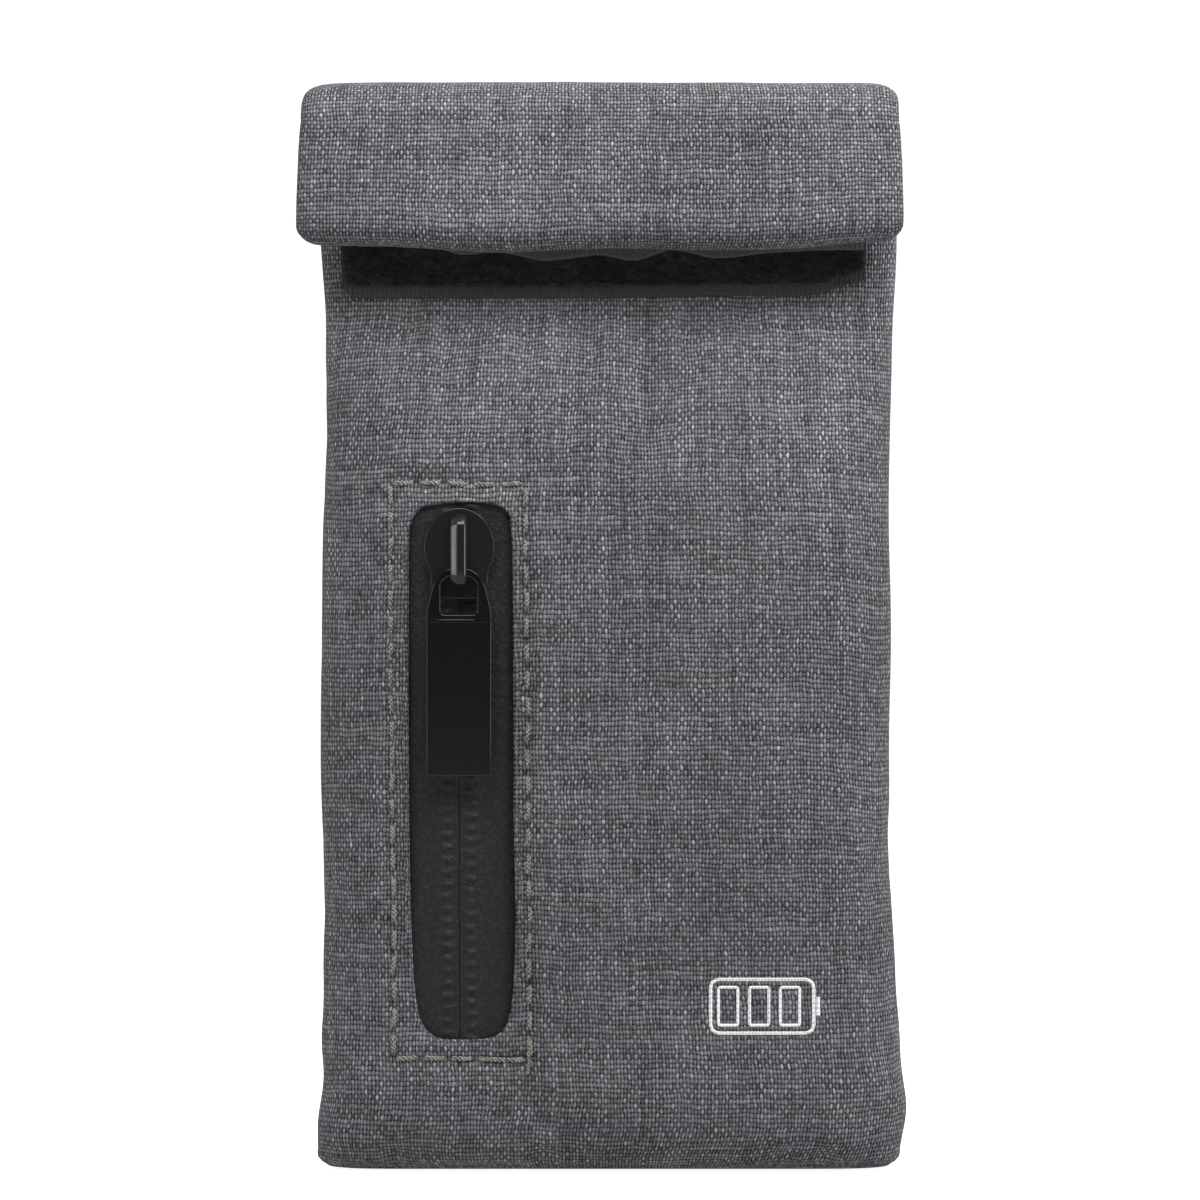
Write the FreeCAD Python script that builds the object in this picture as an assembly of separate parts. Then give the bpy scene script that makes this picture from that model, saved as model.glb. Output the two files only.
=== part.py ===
import FreeCAD, Part
import os

# Small roll-top pouch for lithium batteries, standing upright.
# +X is to the right of a person facing the front, the front faces -Y, +Z is up.
# The origin is the middle of the base. All lengths are in millimetres.

# ---- Driving dimensions --------------------------------------------------

# Cloth
shell = 0.6                  # outer canvas
lining = 0.8                 # heat-resistant lining
ply = shell + lining         # one wall: canvas with its lining
wall_gap = 0.2               # air between the two walls where they lie flat
flat_stack = 2 * ply + wall_gap

# Body
front_face = -8.0
back_face = 7.0
lining_face = -3.9           # front of the lining, behind the zip pocket
neck_front = -1.0
neck_back = 6.0
neck_lining = neck_front + shell
neck_bottom = 104.3
lift_z = 125.4               # height of the axis that the flap swings about

# Body outline, from the base up to the top fold:
# height, half width, half width of the flat panel, front, back, front of the lining
body_levels = [
    (0.0, 33.8, 29.5, -5.0, 4.0, -3.6),
    (2.5, 34.9, 29.0, -6.6, 5.0, -3.6),
    (9.0, 34.9, 28.0, front_face, 6.0, lining_face),
    (20.0, 34.3, 26.5, front_face, 6.8, lining_face),
    (32.0, 34.0, 26.0, front_face, back_face, lining_face),
    (70.0, 34.0, 26.0, front_face, back_face, lining_face),
    (84.0, 33.8, 27.0, front_face, 6.8, lining_face),
    (94.0, 33.8, 29.0, -5.2, 6.4, -2.4),
    (neck_bottom, 34.1, 32.2, neck_front, 6.1, neck_lining),
    (110.0, 34.6, 32.2, neck_front, neck_back, neck_lining),
    (lift_z, 34.7, 32.2, neck_front, neck_back, neck_lining),
]
seam_allowance = 1.2         # the turned-in edges of the two panels, four layers thick
allowance_room = 0.1
side_seam_bottom, side_seam_top = 3.0, 92.0
side_seam_front, side_seam_back = -2.4, 1.4
bottom_seam_half_width = 30.0
bottom_seam_front, bottom_seam_back = -2.0, 1.0
panel_joint_y = -0.25        # where the front panel meets the back panel, on the body
neck_joint_y = 2.5           # and on the neck
shoulder_z = 84.0            # where the body starts to narrow towards the neck

# Roll: the neck folds over the top, comes down as the flap and turns in again at the crease
roll_shift = -0.7            # the roll sits a little to the left
flap_half_width = 36.3
mouth_half_width = 36.1
fold_height = 5.3            # how far the top fold rises above the axis
fold_void_height = 1.8
edge_seam = 1.0              # width of the sewn side edges of the flap and the mouth
edge_round = 0.9
crease_z = 114.6             # height of the axis at the lower edge of the roll
roll_gap = 0.3               # between the flap and the tucked mouth
hinge_gap = 0.3
mouth_length = 5.0

# Hook-and-loop tape, 10 mm wide
tape_width = 10.0
tape_base = 0.55
pile = 0.55
pile_margin = 1.0
engagement_gap = 0.15
loop_left, loop_right, loop_bottom = -31.9, 31.4, 104.7
hook_left, hook_right, hook_bottom = -34.1, 29.3, 109.6

# Zip, number 5, on the front
zip_x = -17.5
window_left, window_right = -23.5, -11.2
window_bottom, window_top = 15.8, 80.2
window_radius = 2.0
zip_tape_left, zip_tape_right = -26.2, -8.4
zip_tape_bottom, zip_tape_top = 12.2, 84.0
zip_tape = 0.5
zip_gap = 1.5                # slot between the two tapes, where the slider's post runs
coil_width, coil_depth = 1.65, 1.1
coil_bottom, coil_top = 17.0, 80.4
stitch_left, stitch_right = -25.6, -9.3
stitch_bottom, stitch_top = 13.6, 82.3
thread = 0.3
thread_rise = 0.12
stop_length = 2.0
pocket_cloth = 0.3           # the back wall of the zip pocket
pocket_half_width, pocket_bottom, pocket_top = 27.0, 10.0, 84.0

# Slider, at the top of the zip
slider_bottom, slider_shoulder, slider_top = 68.4, 74.8, 79.4
slider_half_width, slider_foot_half = 4.2, 3.7
front_plate_y = (-8.7, -7.7)
back_plate_y = (-5.5, -4.6)
back_plate_inset = 0.6       # the hidden plate is a little shorter at both ends
flange, flange_depth = 0.9, 1.0
post_width = 1.0
post_bottom, post_top = 74.2, 78.2
bail_width = 2.2
bail_bottom, bail_top = 70.1, 78.6
bail_reach = 2.3             # how far the bail stands out from the front plate
bail_thickness = 0.8
bail_round = 0.9

# Pull: a wedge-shaped link on a cross bar under the bail, with a flat plate below it
pull_axis_y, pull_axis_z = -9.45, 71.6
cross_bar_radius = 0.5
link_top_half, link_foot_half = 1.9, 3.96
link_thickness = 1.0
link_window_top_half, link_window_foot_half = 1.4, 2.2
link_shoulder, link_window_foot = 66.4, 66.6
plate_top, plate_bottom = 65.6, 47.4
plate_thickness = 1.2
plate_corner = 0.5

# Printed battery sign, a plain generic pictogram
sign_x, sign_z = 18.5, 20.0
sign_width, sign_height, sign_line = 12.5, 6.8, 0.8
terminal_width, terminal_height = 1.1, 3.0
ink = 0.06

# Derived places
flap_front = neck_front - (2 * (tape_base + pile) + engagement_gap) - flat_stack - roll_gap - flat_stack
mouth_back = neck_front - (2 * (tape_base + pile) + engagement_gap)
mouth_front = mouth_back - flat_stack
flap_back = flap_front + flat_stack
lift_y = ((neck_front + neck_back) + (flap_front + flap_back)) / 4
crease_y = (flap_back + mouth_front) / 2
zip_front = front_face + shell
coil_front = zip_front + zip_tape


# ---- Helpers -------------------------------------------------------------

def vec(x, y, z):
    return FreeCAD.Vector(x, y, z)


def box(x0, x1, y0, y1, z0, z1):
    return Part.makeBox(x1 - x0, y1 - y0, z1 - z0, vec(x0, y0, z0))


def polygon_face(points):
    return Part.Face(Part.makePolygon(points + [points[0]]))


def corner(start, control, end):
    curve = Part.BezierCurve()
    curve.setPoles([start, control, end])
    return curve.toShape()


def level_wire(z, half_width, flat, front, back):
    """One level of the pouch: flat front and back, rounded off into two narrow sides."""
    middle = (front + back) / 2
    side = 0.1 * (back - front)
    right = [vec(flat, front, z), vec(half_width, front, z), vec(half_width, middle - side, z),
             vec(half_width, middle + side, z), vec(half_width, back, z), vec(flat, back, z)]
    left = [vec(-p.x, p.y, p.z) for p in right]
    edges = [
        Part.makeLine(left[0], right[0]),
        corner(right[0], right[1], right[2]),
        Part.makeLine(right[2], right[3]),
        corner(right[3], right[4], right[5]),
        Part.makeLine(right[5], left[5]),
        corner(left[5], left[4], left[3]),
        Part.makeLine(left[3], left[2]),
        corner(left[2], left[1], left[0]),
    ]
    return Part.Wire(edges)


def shell_body(inset):
    """The pouch's outer form, drawn in by the given thickness."""
    wires = [
        level_wire(z, half - inset, flat, front + inset, back - inset)
        for z, half, flat, front, back, _ in body_levels
    ]
    return Part.makeLoft(wires, True, True)


def lining_body(inset):
    """The lining's outer form, drawn in by the given thickness. It leaves room for the
    zip pocket in front and for the turned-in seams at the sides, up to the neck."""
    wires = []
    for z, half, flat, _, back, lining_front in body_levels:
        side_room = shell if z >= neck_bottom else shell + seam_allowance + allowance_room
        lining_back = back - shell - inset
        wires.append(level_wire(z, half - side_room - inset, flat - inset, lining_front + inset, lining_back))
    return Part.makeLoft(wires, True, True)


def slab(z0, z1, y0=-20.0, y1=20.0, x0=-50.0, x1=50.0):
    return box(x0, x1, y0, y1, z0, z1)


def front_half():
    """Everything in front of the joint between the two panels."""
    top = lift_z + 1
    profile = [vec(-50, -20, -1), vec(-50, panel_joint_y, -1), vec(-50, panel_joint_y, shoulder_z),
               vec(-50, neck_joint_y, neck_bottom), vec(-50, neck_joint_y, top), vec(-50, -20, top)]
    return polygon_face(profile).extrude(vec(100, 0, 0))


def rounded_panel(x0, x1, z0, z1, y0, y1, radius):
    """A flat panel facing the front, with its four corners rounded."""
    panel = box(x0, x1, y0, y1, z0, z1)
    corners = [e for e in panel.Edges if abs(e.tangentAt(e.FirstParameter).y) > 0.99]
    return panel.makeFillet(radius, corners)


def frame_ring(x0, x1, z0, z1, y0, y1, width):
    """A thin rectangular ring, such as a row of stitches round a panel."""
    outer = box(x0, x1, y0, y1, z0, z1)
    inner = box(x0 + width, x1 - width, y0 - 1, y1 + 1, z0 + width, z1 - width)
    return outer.cut(inner)


def export(name, shape):
    solids = shape.Solids
    assert solids and shape.isValid(), name
    result = solids[0] if len(solids) == 1 else Part.makeCompound(solids)
    result.exportStep("parts/" + name + ".step")
    size = result.BoundBox
    print("%-22s solids %d  volume %8.2f  x %6.2f..%6.2f  y %6.2f..%6.2f  z %6.2f..%6.2f" % (
        name, len(solids), result.Volume,
        size.XMin, size.XMax, size.YMin, size.YMax, size.ZMin, size.ZMax))


# ---- Body of the pouch ---------------------------------------------------

def make_shell():
    """Front and back canvas panels, sewn together along the sides and the base."""
    hollow = shell_body(shell).common(slab(shell, lift_z + 1))
    wall = shell_body(0).cut(hollow)
    front = wall.common(front_half())
    window = rounded_panel(window_left, window_right, window_bottom, window_top,
                           front_face - 1, zip_front + 0.3, window_radius)
    back = wall.cut(front)
    return front.cut(window), back


def make_lining():
    base = shell + seam_allowance + allowance_room
    outer = lining_body(0).common(slab(base, lift_z + 1))
    inner = lining_body(lining).common(slab(base + lining, lift_z + 1))
    wall = outer.cut(inner)
    front = wall.common(front_half())
    return front, wall.cut(front)


def make_side_seams():
    """The panels' edges, turned in and lying against the inside of the canvas."""
    strip = shell_body(shell).cut(shell_body(shell + seam_allowance))
    seams = strip.common(slab(side_seam_bottom, side_seam_top, side_seam_front, side_seam_back))
    left = seams.common(slab(0, 100, x1=0))
    right = seams.common(slab(0, 100, x0=0))
    return left, right


def make_bottom_seam():
    return box(-bottom_seam_half_width, bottom_seam_half_width, bottom_seam_front, bottom_seam_back,
               shell, shell + seam_allowance)


def make_top_fold():
    """Both walls bending over the top of the pouch into the flap."""
    outer_centre = (neck_back + flap_front) / 2
    outer_half = (neck_back - flap_front) / 2
    inner_centre = (neck_front + flap_back) / 2
    inner_half = (neck_front - flap_back) / 2

    def half_ellipse(centre, half, height):
        middle = vec(0, centre, lift_z)
        arc = Part.Ellipse(vec(0, centre + half, lift_z), vec(0, centre, lift_z + height), middle)
        edge = Part.Arc(arc, 0.0, 3.141592653589793).toShape()
        return edge

    outer = half_ellipse(outer_centre, outer_half, fold_height)
    inner = half_ellipse(inner_centre, inner_half, fold_void_height)
    neck_side = Part.makeLine(vec(0, neck_back, lift_z), vec(0, neck_front, lift_z))
    flap_side = Part.makeLine(vec(0, flap_back, lift_z), vec(0, flap_front, lift_z))
    wire = Part.Wire(Part.__sortEdges__([outer, neck_side, inner, flap_side]))
    half_width = (flap_half_width + body_levels[-1][1]) / 2
    fold = Part.Face(wire).extrude(vec(2 * half_width, 0, 0))
    fold.translate(vec(roll_shift / 2 - half_width, 0, 0))
    return fold


# ---- Roll: flap, crease and mouth ----------------------------------------

def make_plies(half_width, front, z0, z1):
    """The four layers of a flat stretch, from the front: canvas, lining, lining, canvas."""
    inner_half = half_width - edge_seam
    starts = [front, front + shell, front + ply + wall_gap, front + flat_stack - shell]
    depths = [shell, lining, lining, shell]
    return [box(roll_shift - inner_half, roll_shift + inner_half, y, y + depth, z0, z1)
            for y, depth in zip(starts, depths)]


def make_edge_seams(half_width, front, z0, z1):
    """The sewn side edges, rounded on the outside."""
    seams = []
    for side in (-1, 1):
        inner_x = roll_shift + side * (half_width - edge_seam)
        outer_x = roll_shift + side * half_width
        seam = box(min(inner_x, outer_x), max(inner_x, outer_x), front, front + flat_stack, z0, z1)
        outer_edges = [
            e for e in seam.Edges
            if abs(e.tangentAt(e.FirstParameter).z) > 0.99 and abs(e.CenterOfMass.x - outer_x) < 0.01
        ]
        seams.append(seam.makeFillet(edge_round, outer_edges))
    return seams


def make_crease_fold():
    """Both walls turning through half a circle at the lower edge of the roll."""
    left_end = roll_shift - flap_half_width + edge_seam / 2
    outer = Part.makeCylinder(crease_y - flap_front, 2 * flap_half_width - edge_seam,
                              vec(left_end, crease_y, crease_z), vec(1, 0, 0))
    inner = Part.makeCylinder(roll_gap / 2, 2 * flap_half_width,
                              vec(roll_shift - flap_half_width, crease_y, crease_z), vec(1, 0, 0))
    return outer.cut(inner).common(slab(crease_z - 10, crease_z))


def make_tape(left, right, bottom, back_y, direction):
    """Hook or loop tape: a woven base with a pile that stops short of the edges. The base
    starts at back_y and the pile stands out towards direction, which is -1 or 1 along Y."""
    base_y = sorted((back_y, back_y + direction * tape_base))
    pile_y = sorted((back_y + direction * tape_base, back_y + direction * (tape_base + pile)))
    base = box(left, right, base_y[0], base_y[1], bottom, bottom + tape_width)
    nap = box(left + pile_margin, right - pile_margin, pile_y[0], pile_y[1],
              bottom + pile_margin, bottom + tape_width - pile_margin)
    return base.fuse(nap).removeSplitter()


def make_tape_stitching(left, right, bottom, back_y, direction):
    inset = (pile_margin - thread) / 2
    rise = sorted((back_y + direction * tape_base, back_y + direction * (tape_base + thread_rise)))
    return frame_ring(left + inset, right - inset, bottom + inset, bottom + tape_width - inset,
                      rise[0], rise[1], thread)


# ---- Zip -----------------------------------------------------------------

def make_zip_tapes():
    slot = zip_gap / 2
    left = box(zip_tape_left, zip_x - slot, zip_front, coil_front, zip_tape_bottom, zip_tape_top)
    right = box(zip_x + slot, zip_tape_right, zip_front, coil_front, zip_tape_bottom, zip_tape_top)
    return left, right


def make_zip_coils():
    """The two coils, on the hidden side of the tapes."""
    coils = []
    for side in (-1, 1):
        near = zip_x + side * zip_gap / 2
        far = near + side * coil_width
        coil_back = coil_front + coil_depth
        coil = box(min(near, far), max(near, far), coil_front, coil_back, coil_bottom, coil_top)
        coils.append(coil)
    return coils


def make_zip_stops():
    half = zip_gap / 2 + coil_width
    coil_back = coil_front + coil_depth
    top = box(zip_x - half, zip_x + half, coil_front, coil_back, coil_top, coil_top + stop_length)
    bottom = box(zip_x - half, zip_x + half, coil_front, coil_back, coil_bottom - stop_length, coil_bottom)
    return top, bottom


def make_slider_body():
    """Two plates joined by a post, with side flanges on the hidden plate."""
    def plate(half, foot, bottom, shoulder, top, y_range):
        left_low = vec(zip_x - foot, y_range[0], bottom)
        right_low = vec(zip_x + foot, y_range[0], bottom)
        right_high = vec(zip_x + half, y_range[0], shoulder)
        left_high = vec(zip_x - half, y_range[0], shoulder)
        crown = vec(zip_x, y_range[0], top)
        wire = Part.Wire([
            Part.makeLine(left_low, right_low),
            Part.makeLine(right_low, right_high),
            Part.Arc(right_high, crown, left_high).toShape(),
            Part.makeLine(left_high, left_low),
        ])
        return Part.Face(wire).extrude(vec(0, y_range[1] - y_range[0], 0))

    front = plate(slider_half_width, slider_foot_half, slider_bottom, slider_shoulder,
                  slider_top, front_plate_y)
    back_bottom = slider_bottom + back_plate_inset
    back_shoulder = slider_shoulder - back_plate_inset
    back = plate(slider_half_width, slider_foot_half, back_bottom, back_shoulder,
                 slider_top - back_plate_inset, back_plate_y)
    post = box(zip_x - post_width / 2, zip_x + post_width / 2, front_plate_y[1], back_plate_y[0],
               post_bottom, post_top)
    body = front.fuse(back).fuse(post)
    for side in (-1, 1):
        outer_x = zip_x + side * slider_foot_half
        inner_x = outer_x - side * flange
        body = body.fuse(box(min(inner_x, outer_x), max(inner_x, outer_x),
                             back_plate_y[0] - flange_depth, back_plate_y[0], back_bottom, back_shoulder))
    return body.removeSplitter()


def make_slider_bail():
    """The bridge on the slider that the pull hangs from."""
    base_y = front_plate_y[0]
    tip_y = base_y - bail_reach
    outer = box(zip_x - bail_width / 2, zip_x + bail_width / 2, tip_y, base_y, bail_bottom, bail_top)
    outer_corners = [
        e for e in outer.Edges
        if abs(e.tangentAt(e.FirstParameter).x) > 0.99 and abs(e.CenterOfMass.y - tip_y) < 0.01
    ]
    outer = outer.makeFillet(bail_round, outer_corners)
    opening = box(zip_x - bail_width, zip_x + bail_width, tip_y + bail_thickness, base_y,
                  bail_bottom + bail_thickness, bail_top - bail_thickness)
    return outer.cut(opening)


def make_pull_link():
    """The cross bar under the bail, and the wedge-shaped frame that hangs from it."""
    y0 = pull_axis_y - link_thickness / 2
    top = pull_axis_z

    def wedge(top_half, foot_half, z_top, z_shoulder, z_foot):
        points = [
            vec(zip_x - top_half, y0, z_top), vec(zip_x + top_half, y0, z_top),
            vec(zip_x + foot_half, y0, z_shoulder), vec(zip_x + foot_half, y0, z_foot),
            vec(zip_x - foot_half, y0, z_foot), vec(zip_x - foot_half, y0, z_shoulder),
        ]
        return polygon_face(points).extrude(vec(0, link_thickness, 0))

    frame = wedge(link_top_half, link_foot_half, top, link_shoulder, plate_top)
    window = polygon_face([
        vec(zip_x - link_window_top_half, y0 - 1, top + 1),
        vec(zip_x + link_window_top_half, y0 - 1, top + 1),
        vec(zip_x + link_window_top_half, y0 - 1, top - cross_bar_radius),
        vec(zip_x + link_window_foot_half, y0 - 1, link_window_foot),
        vec(zip_x - link_window_foot_half, y0 - 1, link_window_foot),
        vec(zip_x - link_window_top_half, y0 - 1, top - cross_bar_radius),
    ]).extrude(vec(0, link_thickness + 2, 0))
    bar = Part.makeCylinder(cross_bar_radius, 2 * link_top_half,
                            vec(zip_x - link_top_half, pull_axis_y, pull_axis_z), vec(1, 0, 0))
    return frame.cut(window).fuse(bar).removeSplitter()


def make_pull_plate():
    y0 = pull_axis_y - plate_thickness / 2
    return rounded_panel(zip_x - link_foot_half, zip_x + link_foot_half, plate_bottom, plate_top,
                         y0, y0 + plate_thickness, plate_corner)


# ---- Printed sign --------------------------------------------------------

def make_printed_mark():
    """A plain battery outline with three bars, a print that is barely thicker than ink."""
    x0, x1 = sign_x - sign_width / 2, sign_x + sign_width / 2
    z0, z1 = sign_z - sign_height / 2, sign_z + sign_height / 2
    y0 = front_face - ink
    terminal_z0, terminal_z1 = sign_z - terminal_height / 2, sign_z + terminal_height / 2
    solids = [
        frame_ring(x0, x1, z0, z1, y0, front_face, sign_line),
        box(x1, x1 + terminal_width, y0, front_face, terminal_z0, terminal_z1),
    ]
    bars = 3
    room = sign_width - 2 * sign_line
    bar_width = room / (bars + (bars + 1) * 0.45)
    gap = (room - bars * bar_width) / (bars + 1)
    for k in range(bars):
        left = x0 + sign_line + gap + k * (bar_width + gap)
        solids.append(box(left, left + bar_width, y0, front_face, z0 + 2 * sign_line, z1 - 2 * sign_line))
    outline = solids[0].fuse(solids[1]).removeSplitter()
    return Part.makeCompound([outline] + solids[2:])


# ---- All pieces ----------------------------------------------------------

os.makedirs("parts", exist_ok=True)

shell_front, shell_back = make_shell()
export("shell_front", shell_front)
export("shell_back", shell_back)
lining_front, lining_back = make_lining()
export("liner_front", lining_front)
export("liner_back", lining_back)
for side_name, seam in zip(("left", "right"), make_side_seams()):
    export("side_seam_" + side_name, seam)
export("bottom_seam", make_bottom_seam())
export("top_fold", make_top_fold())

export("loop_strip", make_tape(loop_left, loop_right, loop_bottom, neck_front, -1))
export("loop_strip_stitching", make_tape_stitching(loop_left, loop_right, loop_bottom, neck_front, -1))

for side_name, tape in zip(("left", "right"), make_zip_tapes()):
    export("zip_tape_" + side_name, tape)
for side_name, coil in zip(("left", "right"), make_zip_coils()):
    export("zip_coil_" + side_name, coil)
for end_name, stop in zip(("top", "bottom"), make_zip_stops()):
    export("zip_stop_" + end_name, stop)
export("window_stitching", frame_ring(stitch_left - thread / 2, stitch_right + thread / 2,
                                      stitch_bottom - thread / 2, stitch_top + thread / 2,
                                      front_face - thread_rise, front_face, thread))
export("pocket_lining", box(-pocket_half_width, pocket_half_width, lining_face - pocket_cloth, lining_face,
                            pocket_bottom, pocket_top))
export("printed_mark", make_printed_mark())

export("slider_body", make_slider_body())
export("slider_bail", make_slider_bail())
export("pull_link", make_pull_link())
export("pull_plate", make_pull_plate())

ply_names = ("shell_back", "liner_back", "liner_front", "shell_front")
for name, solid in zip(ply_names, make_plies(flap_half_width, flap_front, crease_z, lift_z - hinge_gap)):
    export("flap_" + name, solid)
flap_seams = make_edge_seams(flap_half_width, flap_front, crease_z, lift_z - hinge_gap)
for side_name, seam in zip(("left", "right"), flap_seams):
    export("flap_seam_" + side_name, seam)
export("crease_fold", make_crease_fold())

mouth_top = crease_z + mouth_length
mouth_plies = make_plies(mouth_half_width, mouth_front, crease_z + hinge_gap, mouth_top)
for name, solid in zip(reversed(ply_names), mouth_plies):
    export("mouth_" + name, solid)
mouth_seams = make_edge_seams(mouth_half_width, mouth_front, crease_z + hinge_gap, mouth_top)
for side_name, seam in zip(("left", "right"), mouth_seams):
    export("mouth_seam_" + side_name, seam)
export("hook_strip", make_tape(hook_left, hook_right, hook_bottom, mouth_back, 1))
export("hook_strip_stitching", make_tape_stitching(hook_left, hook_right, hook_bottom, mouth_back, 1))

print("lift axis y %.3f z %.3f   crease axis y %.3f z %.3f" % (lift_y, lift_z, crease_y, crease_z))
print("pull axis x %.3f y %.3f z %.3f" % (zip_x, pull_axis_y, pull_axis_z))
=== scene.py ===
import math

import bmesh
import bpy
import numpy as np
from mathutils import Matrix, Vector


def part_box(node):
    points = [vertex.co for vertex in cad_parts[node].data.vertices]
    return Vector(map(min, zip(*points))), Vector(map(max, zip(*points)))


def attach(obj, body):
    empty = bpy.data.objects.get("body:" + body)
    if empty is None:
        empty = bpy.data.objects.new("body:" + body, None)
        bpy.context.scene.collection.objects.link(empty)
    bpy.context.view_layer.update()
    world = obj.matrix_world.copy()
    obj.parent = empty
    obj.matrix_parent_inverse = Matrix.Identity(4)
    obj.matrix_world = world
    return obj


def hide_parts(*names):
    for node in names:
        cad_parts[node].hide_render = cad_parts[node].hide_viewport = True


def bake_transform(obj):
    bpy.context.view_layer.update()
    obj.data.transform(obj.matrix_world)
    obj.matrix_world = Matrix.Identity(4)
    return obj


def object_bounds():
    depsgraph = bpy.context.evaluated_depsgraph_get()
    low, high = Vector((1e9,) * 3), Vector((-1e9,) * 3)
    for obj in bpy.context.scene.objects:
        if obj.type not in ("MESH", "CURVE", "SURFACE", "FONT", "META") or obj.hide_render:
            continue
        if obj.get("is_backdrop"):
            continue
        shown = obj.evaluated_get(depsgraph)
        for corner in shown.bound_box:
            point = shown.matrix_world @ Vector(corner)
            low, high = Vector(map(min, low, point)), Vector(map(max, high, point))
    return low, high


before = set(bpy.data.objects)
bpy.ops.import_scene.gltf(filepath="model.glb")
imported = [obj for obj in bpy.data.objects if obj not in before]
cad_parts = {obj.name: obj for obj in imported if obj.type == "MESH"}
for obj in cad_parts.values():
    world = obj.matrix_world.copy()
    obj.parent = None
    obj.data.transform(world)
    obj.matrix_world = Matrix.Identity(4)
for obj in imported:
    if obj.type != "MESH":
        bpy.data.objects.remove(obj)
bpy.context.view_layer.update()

# Small roll-top battery pouch, standing upright. The front faces -Y.
# Lengths below are in millimetres. Meshes are scaled to metres when they are made.

MM = 0.001
noise_source = np.random.default_rng(11)


def node_box(name):
    low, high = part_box(name)
    return np.array(low) / MM, np.array(high) / MM


# ---- Places taken from the frame ------------------------------------------

fold_low, fold_high = node_box("top_fold")
flap_low, flap_high = node_box("flap_shell_back")
crease_low, crease_high = node_box("crease_fold")
loop_low, loop_high = node_box("loop_strip")
hook_low, hook_high = node_box("hook_strip")
stitch_low, stitch_high = node_box("window_stitching")
slider_low, slider_high = node_box("slider_body")
bail_low, bail_high = node_box("slider_bail")
link_low, link_high = node_box("pull_link")
plate_low, plate_high = node_box("pull_plate")
mark_low, mark_high = node_box("printed_mark")

CANVAS = 0.6
NECK_FRONT = loop_high[1]
NECK_BACK = fold_high[1]
LIFT_Z = fold_low[2]
FLAP_FRONT = flap_low[1]
FLAP_BACK = node_box("flap_shell_front")[1][1]
CREASE_Z = crease_high[2]
CREASE_Y = (crease_low[1] + crease_high[1]) / 2
CREASE_RADIUS = (crease_high[1] - crease_low[1]) / 2
MOUTH_FRONT = node_box("mouth_shell_front")[0][1]
MOUTH_BACK = node_box("mouth_shell_back")[1][1]
MOUTH_TOP = node_box("mouth_shell_back")[1][2]
ROLL_X = (flap_low[0] + flap_high[0]) / 2
ZIP_X = (slider_low[0] + slider_high[0]) / 2
SPACING = 0.56
TOP_CORNER = 1.1
LOW_CORNER = 1.3
FOLD_SQUARENESS = 0.78

# ---- Small tools ----------------------------------------------------------


def smooth_table(x, columns):
    """Cubic Hermite through the rows of a table, sampled at x. The first column is the key."""
    table = np.array(columns, float)
    key, values = table[:, 0], table[:, 1:]
    slope = np.gradient(values, key, axis=0)
    k = np.clip(np.searchsorted(key, x) - 1, 0, len(key) - 2)
    width = (key[k + 1] - key[k])[:, None]
    t = ((x - key[k]) / (key[k + 1] - key[k]))[:, None]
    start = (2 * t**3 - 3 * t**2 + 1) * values[k] + (t**3 - 2 * t**2 + t) * (slope[k] * width)
    return start + (3 * t**2 - 2 * t**3) * values[k + 1] + (t**3 - t**2) * (slope[k + 1] * width)


def smoothstep(low, high, x):
    t = np.clip((x - low) / (high - low), 0, 1)
    return t * t * (3 - 2 * t)


def closed_curve(points, per_span=8):
    """Catmull-Rom through a closed list of points."""
    p = np.array(points, float)
    t = np.linspace(0, 1, per_span, endpoint=False)[:, None]
    spans = []
    for k in range(len(p)):
        a, b, c, d = p[k - 1], p[k], p[(k + 1) % len(p)], p[(k + 2) % len(p)]
        curve = (2 * a - 5 * b + 4 * c - d) * t**2 + (3 * b - a - 3 * c + d) * t**3
        spans.append(0.5 * (2 * b + (c - a) * t + curve))
    return np.vstack(spans)


def run_along(points):
    """The distance along a path, at each of its points."""
    return np.concatenate([[0], np.cumsum(np.linalg.norm(np.diff(points, axis=0), axis=1))])


def unit(vectors):
    return vectors / (np.linalg.norm(vectors, axis=-1, keepdims=True) + 1e-12)


def outline_inset(outline, inset):
    """The outline, which runs anticlockwise as seen from the front, moved inwards."""
    tangent = np.roll(outline, -1, 0) - np.roll(outline, 1, 0)
    return outline + unit(np.stack([-tangent[:, 1], tangent[:, 0]], 1)) * inset


def stand(flat, y):
    """Points given in x and z, at the depth y."""
    return np.column_stack([flat[:, 0], np.broadcast_to(y, len(flat)), flat[:, 1]])


def soft_noise(x, y, size, seed, octaves=2):
    """Smooth value noise with features about size wide, from -1 to 1."""
    total, weight = np.zeros(np.shape(x)), 0.0
    for octave in range(octaves):
        step = size / 2**octave
        u, v = x / step + 37.7 * (seed + octave), y / step + 91.3 * (seed + octave)
        iu, iv = np.floor(u).astype(int), np.floor(v).astype(int)
        fu, fv = u - iu, v - iv
        fu, fv = fu * fu * (3 - 2 * fu), fv * fv * (3 - 2 * fv)

        def corner(a, b):
            h = np.sin((iu + a) * 127.1 + (iv + b) * 311.7 + seed * 17.3) * 43758.5453
            return 2 * (h - np.floor(h)) - 1

        low = corner(0, 0) * (1 - fu) + corner(1, 0) * fu
        high = corner(0, 1) * (1 - fu) + corner(1, 1) * fu
        total = total + (low * (1 - fv) + high * fv) / 2**octave
        weight += 1 / 2**octave
    return total / weight


def add_object(name, data):
    obj = bpy.data.objects.new(name, data)
    bpy.context.scene.collection.objects.link(obj)
    return obj


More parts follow.
